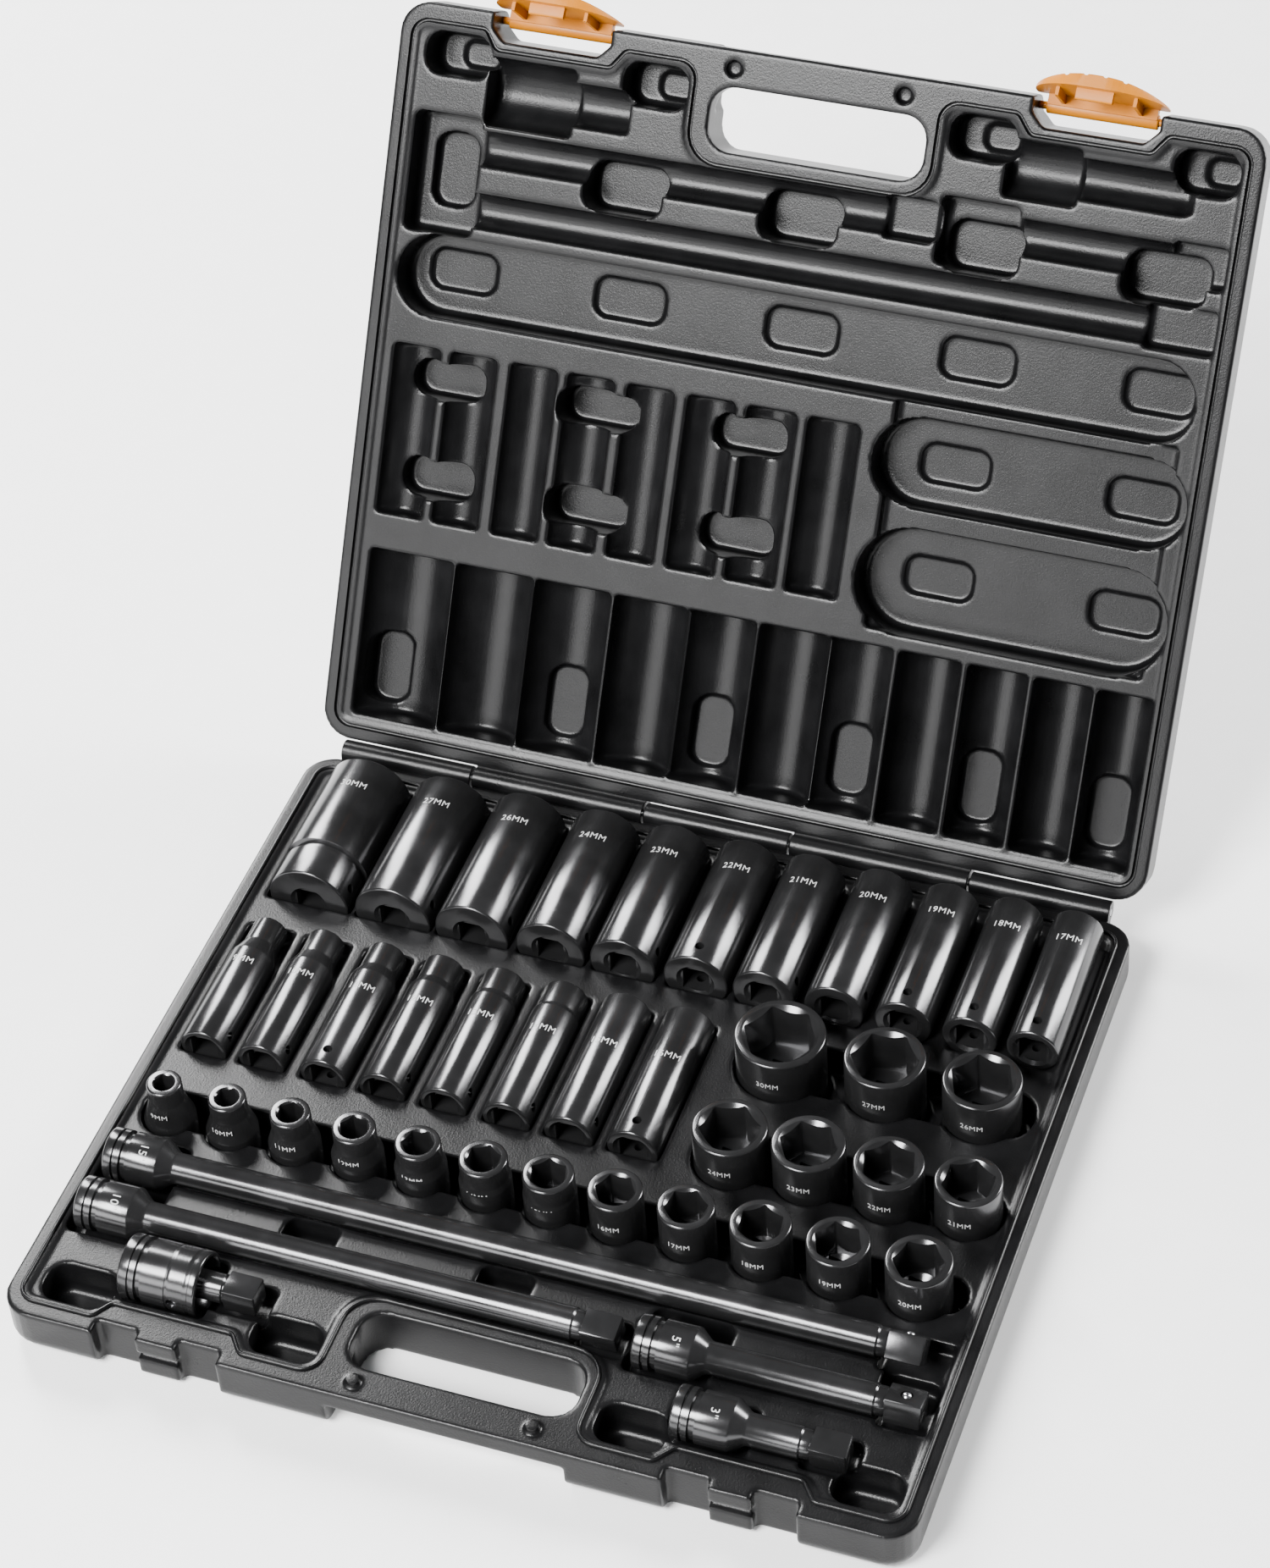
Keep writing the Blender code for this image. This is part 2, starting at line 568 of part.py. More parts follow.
def build_socket(name, size, length, nose, drive, location, turn, twist):
    """Impact socket standing on its drive end: hex at the top, square below."""
    lip = 0.9
    neck = length - (10.0 if length < 50 else 14.0)
    cone = neck - 3.0 * (drive - nose) if drive > nose else neck
    profile = [(0, length), (nose - lip, length), (nose, length - lip)]
    if drive > nose:
        profile += [(nose, neck), (drive, max(cone, 12.0))]
    elif nose > drive:
        profile += [(nose, 22.0), (nose - 1.6, 21.4), (nose - 1.6, 19.6), (drive, 19.0)]
    profile += [(drive, lip), (drive - lip, 0), (0, 0)]
    socket = place(name, turned(name, profile), location, turn)
    add_screw(socket)
    depth = hex_depth(length, size)
    six = rod(size / 2 + 0.1, length - depth, length + 2, 6, turn=twist, outside=True)
    four = rod(DRIVE / 2 + 0.1, -2, length - depth + 1, 4, turn=twist + 45, outside=True)
    for label, mesh in (("hex", six), ("square", four)):
        cutter = place(name + "_" + label, mesh, location, turn, cutter=True)
        cut(socket, cutter)
    finish(socket, "steel")
    return socket


def build_sockets():
    x0, y0, z0 = MID_X, MID_Y, HALF_H
    for index, (size, x, y, r, z) in enumerate(lying_sockets()):
        table = ROW_A + ROW_B
        nose, drive = table[index][2:]
        build_socket("deep_socket_%02dmm" % size, size, DEEP_L, nose, drive,
                     (x - x0, y - y0, z + z0), (-90, 0, 0), 0.0)
    for index, (size, x, y, nose, drive) in enumerate(UPRIGHT):
        build_socket("shallow_socket_%02dmm" % size, size, SHALLOW_L, nose, drive,
                     (x - x0, y - y0, SOCKET_TOP - SHALLOW_L + z0), (0, 0, 0),
                     (7.0 * index) % 60)


def drive_tip(name, half, a, b, location, turn, roll):
    """Square drive end, added to a turned bar."""
    mesh = rod(half * math.sqrt(2), a, b, 4, turn=45 + roll)
    return place(name, mesh, location, turn, cutter=True)


def build_bar(label, x, y, length, roll):
    name = "extension_" + label
    location = (x - MID_X, y - MID_Y, BAR_Z + HALF_H)
    turn = (0, 90, 0)
    end = length - TIP_L
    profile = [(0, end + 0.5), (5.6, end + 0.5), (SHAFT_R, end - 2.5), (SHAFT_R, HEAD_L + 2),
               (HEAD_R, HEAD_L - 3), (HEAD_R, 11.5), (HEAD_R - 1.0, 11.0),
               (HEAD_R - 1.0, 8.5), (HEAD_R, 8.0), (HEAD_R, 1.2), (HEAD_R - 1.2, 0), (0, 0)]
    bar = place(name, turned(name, profile), location, turn)
    add_screw(bar)
    cut(bar, drive_tip(name + "_tip", DRIVE / 2 - 0.1, end - 2, length, location, turn, roll),
        "UNION")
    socket = rod(DRIVE / 2 + 0.1, -2, 17, 4, turn=45 + roll, outside=True)
    cut(bar, place(name + "_square", socket, location, turn, cutter=True))
    side = roll + 90
    seat = rod(BALL_HOLE_R, 1.2, 12, 6, outside=True)
    aim = (Matrix.Translation((0, 0, (length - 8) * MM))
           @ Matrix.Rotation(math.radians(side), 4, "Z") @ Matrix.Rotation(math.pi / 2, 4, "Y"))
    seat.transform(aim)
    cut(bar, place(name + "_ball_seat", seat, location, turn, cutter=True))
    finish(bar, "steel")
    bm = bmesh.new()
    bmesh.ops.create_uvsphere(bm, u_segments=8, v_segments=6, radius=BALL_R * MM)
    mesh = bpy.data.meshes.new("ball")
    bm.to_mesh(mesh)
    bm.free()
    out = DRIVE / 2 - 0.1 + BALL_OUT - BALL_R
    mesh.transform(aim @ Matrix.Translation((0, 0, out * MM)))
    ball = place("detent_ball_" + label, mesh, location, turn)
    finish(ball, "bright")


def build_universal():
    """Impact universal joint: cup housing, ball-ended drive, cross pin, retaining ring."""
    location = (UJ_X - MID_X, UJ_Y - MID_Y, BAR_Z + HALF_H)
    turn = (0, 90, 0)
    r = UJ_R
    profile = [(0, UJ_L), (r - 1, UJ_L), (r, UJ_L - 1), (r, 33.0), (r - 1.4, 32.6),
               (r - 1.4, 29.6), (r, 29.2), (r, 11.0), (r - 1, 10.6), (r - 1, 8.4),
               (r, 8.0), (r, 1.2), (r - 1.2, 0), (0, 0)]
    cup = place("universal_housing", turned("universal_housing", profile), location, turn)
    add_screw(cup)
    socket = rod(DRIVE / 2 + 0.1, -2, 17, 4, turn=45, outside=True)
    cut(cup, place("universal_square", socket, location, turn, cutter=True))
    hollow = [(0, UJ_L + 1), (13.2, UJ_L + 1), (UJ_CUP_R, UJ_PIVOT + 3)]
    hollow += [(UJ_CUP_R * math.cos(math.radians(a)),
                UJ_PIVOT + UJ_CUP_R * math.sin(math.radians(a))) for a in range(0, -61, -20)]
    hollow += [(0, UJ_PIVOT - UJ_CUP_R * 0.98)]
    bowl = place("universal_bowl", turned("bowl", hollow), location, turn, cutter=True)
    add_screw(bowl)
    cut(cup, bowl)
    hole = rod(UJ_PIN_HOLE_R, -20, 20, 10, "Y", (0, UJ_PIVOT), outside=True)
    cut(cup, place("universal_pin_hole", hole, location, turn, cutter=True))
    finish(cup, "steel")
    pivot_at = (UJ_X + UJ_PIVOT - MID_X, UJ_Y - MID_Y, BAR_Z + HALF_H)
    tip = UJ_END_X - UJ_X - UJ_PIVOT
    ball = [(0, tip - 14), (6.0, tip - 14), (6.6, tip - 16.0), (6.6, 7.0)]
    ball += [(UJ_BALL_R * math.cos(math.radians(a)), UJ_BALL_R * math.sin(math.radians(a)))
             for a in (40, 15, -15, -40)]
    ball += [(0, -UJ_BALL_R * 0.97)]
    drive = place("universal_drive", turned("universal_drive", ball), pivot_at, turn)
    add_screw(drive)
    cut(drive, drive_tip("universal_tip", DRIVE / 2 - 0.1, tip - 16, tip, pivot_at, turn, 0),
        "UNION")
    eye = rod(UJ_PIN_R + 0.3, -20, 20, 10, "Y", (0, 0), outside=True)
    cut(drive, place("universal_eye", eye, pivot_at, turn, cutter=True))
    finish(drive, "steel")
    pin = place("universal_pin", rod(UJ_PIN_R, -(r - 2.4), r - 2.4, 10, "Y"), pivot_at, turn)
    finish(pin, "bright")


def main():
    build_base()
    hinge = bpy.data.objects.new("lid_hinge", None)
    PARTS.objects.link(hinge)
    hinge.location = (0, (HINGE_Y - MID_Y) * MM, HALF_H * MM)
    hinge.rotation_euler = (math.radians(-OPEN_DEG), 0, 0)
    build_lid(hinge)
    for side, mid in zip(("left", "right"), LATCH_MID_X):
        build_latch(side, mid, hinge)
    build_pins()
    build_sockets()
    for bar in BARS:
        build_bar(*bar)
    build_universal()
    bpy.context.view_layer.update()


main()
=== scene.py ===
# %% [markdown]
# # A socket wrench set in its moulded carry case
#
# The case is two blow-moulded halves on a long hinge. The base holds the tools and the
# lid, which stands open, has a matching pocket over every tool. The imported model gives
# the true sizes and the moving bodies, and each cell below builds one family of pieces
# on that frame: first the case, then the latches, the sockets and the drive tools.

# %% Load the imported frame
import json
import math

import bmesh
import bpy
from mathutils import Matrix, Vector


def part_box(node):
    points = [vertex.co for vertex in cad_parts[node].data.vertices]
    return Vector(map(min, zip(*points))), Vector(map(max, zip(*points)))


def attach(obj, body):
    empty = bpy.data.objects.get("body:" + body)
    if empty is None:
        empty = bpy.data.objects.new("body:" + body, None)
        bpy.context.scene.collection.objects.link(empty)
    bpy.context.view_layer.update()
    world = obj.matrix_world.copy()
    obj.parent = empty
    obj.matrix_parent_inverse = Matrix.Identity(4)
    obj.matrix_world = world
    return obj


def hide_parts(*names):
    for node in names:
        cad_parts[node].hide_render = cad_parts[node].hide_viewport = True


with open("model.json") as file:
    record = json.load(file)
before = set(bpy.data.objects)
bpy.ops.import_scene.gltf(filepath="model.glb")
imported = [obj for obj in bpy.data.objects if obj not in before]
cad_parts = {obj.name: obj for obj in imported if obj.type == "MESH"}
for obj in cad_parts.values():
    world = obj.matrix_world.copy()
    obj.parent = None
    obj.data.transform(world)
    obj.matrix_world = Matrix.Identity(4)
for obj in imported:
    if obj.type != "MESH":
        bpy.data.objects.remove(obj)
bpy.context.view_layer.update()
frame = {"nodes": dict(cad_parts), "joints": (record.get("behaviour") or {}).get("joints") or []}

# %% [markdown]
# ## Measuring from the frame
#
# Everything is drawn in millimetres from the front left corner of the closed case, with
# heights from the plane where the two rims meet. The corner and the hinge line come from
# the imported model, so a piece lands where its joint is.

# %% Plan coordinates
MM = 0.001
HINGE = next(j for j in frame["joints"] if j["name"] == "lid_hinge")
HINGE_AT = Vector(HINGE["pos_m"])
OPEN_ANGLE = math.radians(-HINGE["range_deg"][0])
BASE_LOW, BASE_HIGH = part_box("case_base")
CORNER = Vector((BASE_LOW.x, BASE_LOW.y, HINGE_AT.z))
CASE_W = (BASE_HIGH.x - BASE_LOW.x) / MM
HINGE_Y = (HINGE_AT.y - CORNER.y) / MM
BACK_TO_HINGE = 5.9                        # from the back wall to the hinge axis
CASE_D = HINGE_Y - BACK_TO_HINGE
HALF_H = HINGE_AT.z / MM


def at(x, y, z):
    """A point of the plan, in metres."""
    return CORNER + Vector((x, y, z)) * MM


print("case half: %.0f x %.0f x %.0f mm, hinge at y = %.1f" % (CASE_W, CASE_D, HALF_H, HINGE_Y))

# %% [markdown]
# ## A few bench tools
#
# Blender's operators work on what is selected, and the loaded frame is selected, so
# every piece starts by clearing the selection. Edges are then picked by their place and
# direction, as one would click them by eye. Only a few tools are needed: one to pick and
# round edges, one to apply a modifier, and one to cut or weld two solids.


# %% Selecting and applying
def start_piece(name):
    obj = bpy.context.object
    obj.name = name
    bpy.ops.object.transform_apply(location=True, rotation=True, scale=True)
    return obj


def clear_selection():
    bpy.ops.object.select_all(action="DESELECT")


def select_only(*pieces):
    clear_selection()
    for piece in pieces:
        piece.select_set(True)
    bpy.context.view_layer.objects.active = pieces[0]


def pick_edges(piece, wanted):
    """Select the edges whose middle (in plan mm) and direction pass the test."""
    mesh = bmesh.from_edit_mesh(piece.data)
    bpy.ops.mesh.select_mode(type="EDGE")
    bpy.ops.mesh.select_all(action="DESELECT")
    for edge in mesh.edges:
        a, b = (vert.co for vert in edge.verts)
        middle = ((a + b) / 2 - CORNER) / MM
        edge.select_set(wanted(middle, (b - a).normalized()))
    bmesh.update_edit_mesh(piece.data)


def round_edges(piece, radius, wanted, steps=4):
    select_only(piece)
    bpy.ops.object.mode_set(mode="EDIT")
    pick_edges(piece, wanted)
    bpy.ops.mesh.bevel(offset=radius * MM, segments=steps, affect="EDGES", clamp_overlap=True)
    bpy.ops.object.mode_set(mode="OBJECT")


def apply_modifier(piece, kind, **values):
    select_only(piece)
    mod = piece.modifiers.new(kind.lower(), kind)
    for key, value in values.items():
        setattr(mod, key, value)
    bpy.ops.object.modifier_apply(modifier=mod.name)


def combine(piece, other, operation="DIFFERENCE"):
    """Cut one solid from another, or weld it on, and throw the tool away."""
    apply_modifier(piece, "BOOLEAN", object=other, operation=operation, solver="MANIFOLD")
    bpy.data.objects.remove(other, do_unlink=True)


def join(pieces):
    select_only(*pieces)
    bpy.ops.object.join()
    return pieces[0]


print("bench tools ready")

# %% [markdown]
# ## Blocks and troughs
#
# A blow-moulded tray has only a few kinds of hollow: flat-bottomed bays with round
# corners, and half-round troughs under the bars and sockets. Both start as a primitive at
# its size, and a bevel gives it the soft edges that a mould needs.


# %% Hollow shapes
NEAR = 0.01                                # an edge this close to a plane lies on it, mm
CLEAR = 6.0                                # a cutter reaches this far past a surface, mm


def block(x0, x1, y0, y1, z0, z1, corner=0.0, floor=0.0, name="block"):
    clear_selection()
    bpy.ops.mesh.primitive_cube_add(
        size=1, location=at((x0 + x1) / 2, (y0 + y1) / 2, (z0 + z1) / 2),
        scale=((x1 - x0) * MM, (y1 - y0) * MM, (z1 - z0) * MM))
    piece = start_piece(name)
    if corner:
        round_edges(piece, corner, lambda m, d: abs(d.z) > 0.9, 6)
    if floor:
        round_edges(piece, floor, lambda m, d: m.z < z0 + NEAR and abs(d.z) < 0.1, 4)
    return piece


def bar(axis, across, height, start, end, radius, ends=0.0, sides=48, name="bar"):
    """A round bar along X or Y; its place across is the other plan coordinate."""
    clear_selection()
    middle = (start + end) / 2
    if axis == "X":
        spot, turn = at(middle, across, height), (0, math.pi / 2, 0)
    else:
        spot, turn = at(across, middle, height), (math.pi / 2, 0, 0)
    bpy.ops.mesh.primitive_cylinder_add(
        vertices=sides, radius=radius * MM, depth=(end - start) * MM,
        location=spot, rotation=turn)
    piece = start_piece(name)
    if ends:
        along = 0 if axis == "X" else 1
        round_edges(piece, ends, lambda m, d: min(abs(m[along] - start),
                                                  abs(m[along] - end)) < NEAR, 3)
    return piece


def pillar(x, y, radius, z0, z1, sides=48, floor=0.0, name="pillar"):
    clear_selection()
    bpy.ops.mesh.primitive_cylinder_add(
        vertices=sides, radius=radius * MM, depth=(z1 - z0) * MM,
        location=at(x, y, (z0 + z1) / 2))
    piece = start_piece(name)
    if floor:
        round_edges(piece, floor, lambda m, d: m.z < z0 + NEAR, 3)
    return piece


print("hollow shapes ready")

# %% [markdown]
# ## The two halves share one way of making
#
# The lid is easiest to shape lying flat, unfolded behind the base with its pockets
# facing up. `Half` turns closed-case coordinates into that layout: for the base a depth
# goes straight down, and for the lid the y direction is folded over the hinge line.


# %% Working on one half
class Half:
    def __init__(self, body, folded):
        self.body = body
        self.folded = folded

    def spans(self, y0, y1):
        return (2 * HINGE_Y - y1, 2 * HINGE_Y - y0) if self.folded else (y0, y1)

    def bay(self, x0, x1, y0, y1, depth, corner=4.0, floor=2.5):
        low, high = self.spans(y0, y1)
        combine(self.body, block(x0, x1, low, high, -depth, CLEAR, corner, floor))

    def trough(self, axis, across, start, end, radius, below, ends=1.5):
        """A half-round hollow whose axis lies this far below the rim plane."""
        if axis == "X":
            across = sum(self.spans(across, across)) / 2
        else:
            start, end = self.spans(start, end)
        combine(self.body, bar(axis, across, -below, start, end, radius, ends))
        if below > 0:
            sides = (across - radius, across + radius)
            run = (start + NEAR, end - NEAR)
            (x0, x1), (y0, y1) = (run, sides) if axis == "X" else (sides, run)
            combine(self.body, block(x0, x1, y0, y1, -below, CLEAR, ends * 0.9))

    def hole(self, x, y, radius, depth):
        y, _ = self.spans(y, y)
        combine(self.body, pillar(x, y, radius, -depth, CLEAR, floor=0.8))


print("layout helper ready")

# %% [markdown]
# ## Where each tool lies
#
# The pockets follow the tools, so their centres, radii and ends are read from the
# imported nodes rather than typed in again.


# %% Tool places
def tool_box(node):
    low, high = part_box(node)
    return (low - CORNER) / MM, (high - CORNER) / MM


DEEP, SHALLOW = {}, {}
for node_name in sorted(frame["nodes"]):
    if "socket_" in node_name:
        low, high = tool_box(node_name)
        size = int(node_name[-4:-2])
        centre = (low + high) / 2
        if node_name.startswith("deep"):
            DEEP[size] = dict(x=centre.x, y=low.y, z=centre.z, r=(high.x - low.x) / 2,
                              length=high.y - low.y)
        else:
            SHALLOW[size] = dict(x=centre.x, y=centre.y, z=low.z, r=(high.x - low.x) / 2,
                                 length=high.z - low.z)
BARS = {}
for label in ("15in", "10in", "5in", "3in"):
    low, high = tool_box("extension_" + label)
    BARS[label] = dict(x=low.x, end=high.x, y=(low.y + high.y) / 2, z=(low.z + high.z) / 2)
low, high = tool_box("universal_housing")
JOINT = dict(x=low.x, end=high.x, y=(low.y + high.y) / 2, z=(low.z + high.z) / 2)
print(len(DEEP), "deep and", len(SHALLOW), "shallow sockets,", len(BARS), "bars")

# %% [markdown]
# ## Outline of the rim
#
# A thin tongue stands on the base rim and drops into a groove in the lid rim. It runs
# round the tray and steps in behind each latch and round the hand hole. The path is a
# few corners, each with its own radius.

# %% Rim path
RIM = ((6.5, 8.5, 8), (43, 8.5, 4), (49, 17.5, 4), (106, 17.5, 4), (113, 8.5, 4),
       (148.5, 8.5, 9), (148.5, 54, 15), (266, 54, 15), (266, 8.5, 9),
       (302, 8.5, 4), (309, 17.5, 4), (365, 17.5, 4), (372, 8.5, 4),
       (410.5, 8.5, 8), (410.5, 354, 8), (6.5, 354, 8))


def rounded_path(corners, steps=6):
    """Points of a closed outline with an arc at each corner (x, y, radius)."""
    points = []
    for i, (x, y, radius) in enumerate(corners):
        here = Vector((x, y))
        back = (Vector(corners[i - 1][:2]) - here).normalized()
        ahead = (Vector(corners[(i + 1) % len(corners)][:2]) - here).normalized()
        half = back.angle(ahead) / 2
        centre = here + (back + ahead).normalized() * (radius / math.sin(half))
        first = here + back * (radius / math.tan(half)) - centre
        last = here + ahead * (radius / math.tan(half)) - centre
        turn = first.angle_signed(last)
        for k in range(steps + 1):
            spoke = first.copy()
            spoke.rotate(Matrix.Rotation(-turn * k / steps, 2))
            points.append(centre + spoke)
    return points


def moved_in(points, distance):
    """The same outline a little way inside."""
    inner = []
    for i, here in enumerate(points):
        before = (here - points[i - 1]).normalized()
        after = (points[(i + 1) % len(points)] - here).normalized()
        n0, n1 = Vector((-before.y, before.x)), Vector((-after.y, after.x))
        inner.append(here + (n0 + n1) / (1 + n0.dot(n1)) * distance)
    return inner


def outline_curve(points, folded, height):
    curve = bpy.data.curves.new("rim", "CURVE")
    spline = curve.splines.new("POLY")
    spline.points.add(len(points) - 1)
    for knot, (x, y) in zip(spline.points, points):
        knot.co = (*at(x, 2 * HINGE_Y - y if folded else y, height), 1)
    spline.use_cyclic_u = True
    piece = bpy.data.objects.new("rim", curve)
    bpy.context.scene.collection.objects.link(piece)
    return piece


def bead(points, folded, radius, height):
    """A round bead that follows the outline."""
    piece = outline_curve(points, folded, height)
    piece.data.dimensions = "3D"
    piece.data.bevel_depth = radius * MM
    piece.data.bevel_resolution = 3
    select_only(piece)
    bpy.ops.object.convert(target="MESH")
    return bpy.context.object


def plate(points, folded, z0, z1):
    """A flat solid with this outline."""
    piece = outline_curve(points, folded, 0)
    piece.data.dimensions = "2D"
    piece.data.fill_mode = "BOTH"
    piece.data.extrude = (z1 - z0) / 2 * MM
    select_only(piece)
    bpy.ops.object.convert(target="MESH")
    piece = bpy.context.object
    piece.location.z = CORNER.z + (z0 + z1) / 2 * MM
    bpy.ops.object.transform_apply(location=True, rotation=True, scale=True)
    bpy.ops.object.mode_set(mode="EDIT")
    bpy.ops.mesh.select_all(action="SELECT")
    bpy.ops.mesh.remove_doubles(threshold=0.00001)
    bpy.ops.mesh.normals_make_consistent(inside=False)
    bpy.ops.object.mode_set(mode="OBJECT")
    return piece


RIM_PATH = rounded_path(RIM)
print("rim path:", len(RIM_PATH), "points")

# %% [markdown]
# ## The blank of a half
#
# Each half begins as a slab. Its four upright corners get a wide radius, and the edge
# round its outer face a smaller one, which is the shape a case half has before any
# pocket is pressed into it.

# %% Blanks
CORNER_R, EDGE_R = 15.0, 8.0
RIM_GAP = 0.2                              # between the two rims when shut
DECK_INSET, DECK_DROP = 2.6, 1.0           # the deck inside the rim, a little lower
GRIP = (157.0, 261.0, 17.5, 47.5)          # hand hole: x0, x1, y0, y1
GRIP_HALF_H = 10.0                         # half the thickness of the handle bar
GRIP_HOLE_CORNER, GRIP_RELIEF_CORNER = 11.0, 5.0


def blank(name, folded):
    y0, y1 = (2 * HINGE_Y - CASE_D, 2 * HINGE_Y) if folded else (0, CASE_D)
    top = -RIM_GAP if folded else 0.0
    body = block(0, CASE_W, y0, y1, -HALF_H, top, CORNER_R, name=name)
    round_edges(body, EDGE_R, lambda m, d: m.z < NEAR - HALF_H and abs(d.z) < 0.1, 8)
    return Half(body, folded)


def hand_hole(half):
    """Cut the hole, and thin the bar in front of it so that fingers close round it."""
    x0, x1, y0, y1 = GRIP
    low, high = half.spans(y0, y1)
    hole = block(x0, x1, low, high, -HALF_H - CLEAR, CLEAR, GRIP_HOLE_CORNER)
    combine(half.body, hole)
    low, high = half.spans(-8, y1 - 16)
    relief = block(x0 - 2, x1 + 3, low, high, -HALF_H - CLEAR, -GRIP_HALF_H,
                   GRIP_RELIEF_CORNER)
    combine(half.body, relief)


base = blank("case_base_shell", False)
lid = blank("case_lid_shell", True)
for half in (base, lid):
    hand_hole(half)
    deck = plate(moved_in(RIM_PATH, DECK_INSET), half.folded, -DECK_DROP, CLEAR)
    combine(half.body, deck)
print("two blanks with hand holes and sunk decks")

# %% [markdown]
# ## Pockets of the base
#
# The lying tools sit in half-round troughs, the upright sockets in round wells joined by
# a narrow trench, and between the bars and along the front are deep finger wells. The
# troughs are a little longer and wider than the tools.

# %% Base pockets under the sockets
SOCKET_TRENCHES = (                        # x0, x1, y0, y1, depth, corner
    (14, 403, 119, 139, 17, 9),
    (265, 405, 164, 190, 17, 12),
    (265, 403, 220.5, 249, 17, 13))

for tool in DEEP.values():
    base.trough("Y", tool["x"], tool["y"] - 1.4, tool["y"] + tool["length"] + 2,
                tool["r"] + 0.7, -tool["z"])
for tool in SHALLOW.values():
    well = pillar(tool["x"], tool["y"], tool["r"] + 1.2, tool["z"] - 0.6, CLEAR, 64)
    combine(base.body, well)
for trench in SOCKET_TRENCHES:
    base.bay(*trench)
print("base pockets for", len(DEEP) + len(SHALLOW), "sockets")

# %% Base pockets under the drive tools
DRIVE_BAYS = (                             # x0, x1, y0, y1, depth, corner and floor radius
    (9.8, 46.5, 50.6, 108.4, 10, 3, 3),    # heads of the two long bars
    (272.0, 309.5, 50.5, 78.5, 10, 3, 3),  # head of the 5 inch bar
    (300.5, 337.5, 21.0, 46.5, 10, 3, 3),  # head of the 3 inch bar
    (47.0, 89.5, 21.3, 52.8, 13, 3, 5),    # joint housing
    (86.0, 116.0, 28.0, 46.0, 9, 2.5),     # square ends: joint, 3, 5, 10 and 15 inch
    (360.0, 384.0, 24.0, 43.0, 7, 2.5),
    (384.0, 407.0, 54.5, 84.0, 9, 2.5),
    (248.0, 271.0, 54.5, 73.5, 8, 2.5),
    (376.0, 406.5, 83.0, 104.0, 8.5, 2.5))
BETWEEN_BARS = ((104, 129), (196, 221), (276, 313), (380, 405))     # x0, x1
FINGER_WELLS = ((14, 47, 12.6, 33), (113, 145, 12.6, 33),
                (271.5, 303, 12.6, 33), (376, 406.5, 12.6, 33))     # x0, x1, y0, y1

for tool in BARS.values():
    base.trough("X", tool["y"], tool["x"] + 20, tool["end"] + 4.5, 8.0, -tool["z"])
for bay in DRIVE_BAYS:
    base.bay(*bay)
for x0, x1 in BETWEEN_BARS:
    base.bay(x0, x1, 71, 87, 16, 5, 3)
for well in FINGER_WELLS:
    base.bay(*well, 19.5, 8, 4)
print("base pockets cut:", len(base.body.data.polygons), "faces")

# %% [markdown]
# ## Front of the base
#
# In front of each latch the wall steps back, and a block is left standing in the middle
# with a slot in its face for the latch hook. Two round studs on the handle's rim drop
# into holes in the lid, so the halves can't slide on each other.

# %% Catches and studs
LATCH_MIDS = (75.5, 337.5)
CATCH_W, NOTCH_W = 19.0, 59.0
CATCH_FACE_Y, NOTCH_Y = 1.8, 7.0           # how far each stands behind the front face
SLOT_Y, SLOT_Z = 5.4, (-13.0, -9.0)
STUDS = ((166.0, 9.0), (248.0, 9.0))
STUD_R, STUD_H = 3.2, 3.0
STUD_HOLE_R, STUD_HOLE_D = 3.8, 3.6

for mid in LATCH_MIDS:
    near, far = CATCH_W / 2, NOTCH_W / 2
    through = (-HALF_H - CLEAR, CLEAR)
    for a, b in ((-far, -near), (near, far)):
        notch = block(mid + a, mid + b, -CLEAR, NOTCH_Y, *through)
        round_edges(notch, 1.6, lambda m, d: abs(d.z) > 0.9 and m.y > NOTCH_Y - NEAR, 3)
        combine(base.body, notch)
    combine(base.body, block(mid - near - 0.02, mid + near + 0.02, -CLEAR, CATCH_FACE_Y,
                             *through))
    combine(base.body, block(mid - near - 3, mid + near + 3, 0, SLOT_Y, *SLOT_Z))
for x, y in STUDS:
    combine(base.body, pillar(x, y, STUD_R, -DECK_DROP, STUD_H), "UNION")
print(len(LATCH_MIDS), "catch blocks and", len(STUDS), "locating studs added")

# %% [markdown]
# ## Pockets of the lid
#
# The lid has a pocket for the other half of every tool. Over the upright sockets it has
# three long bays with round ends. Many pockets have a deeper slot or well sunk into their
# floor: these are where the two walls of the blow moulding meet and weld together.

# %% Lid pockets over the lying sockets
TACK = 23.4                                # depth of the welded slots
BACK_ROW_FROM = 200                        # the back row of sockets starts behind this y
BACK_ROW_TACKS = (26.5, 118.7, 193.5, 263.6, 327.8, 390.8)          # middles, x
BETWEEN_ROW_TACKS = ((23, 60), (100, 139), (176, 213))              # x0, x1

for tool in DEEP.values():
    extra = 1.3 if tool["y"] > BACK_ROW_FROM else 0.9
    lid.trough("Y", tool["x"], tool["y"] - 2.2, tool["y"] + tool["length"] + 2,
               tool["r"] + extra, tool["z"], 2.2)
for x in BACK_ROW_TACKS:
    lid.bay(x - 10, x + 10, 307, 343, TACK, 8, 1.5)
for x0, x1 in BETWEEN_ROW_TACKS:
    lid.bay(x0, x1, 217, 236, TACK, 8, 1.5)
    lid.bay(x0, x1, 169, 187, TACK, 8, 1.5)
print("lid pockets over the lying sockets:", len(lid.body.data.polygons), "faces")

# %% Lid bays over the upright sockets
UPRIGHT_BAYS = ((12, 403, 108, 147.5), (257, 407, 154.5, 197), (257, 407, 206.5, 257.0))
UPRIGHT_DEPTH = 20.8
FRONT_TACKS = ((22, 56), (106, 142), (192, 228), (278, 314), (366, 400))
SHORT_BAY_TACKS = ((276, 310), (366, 400))

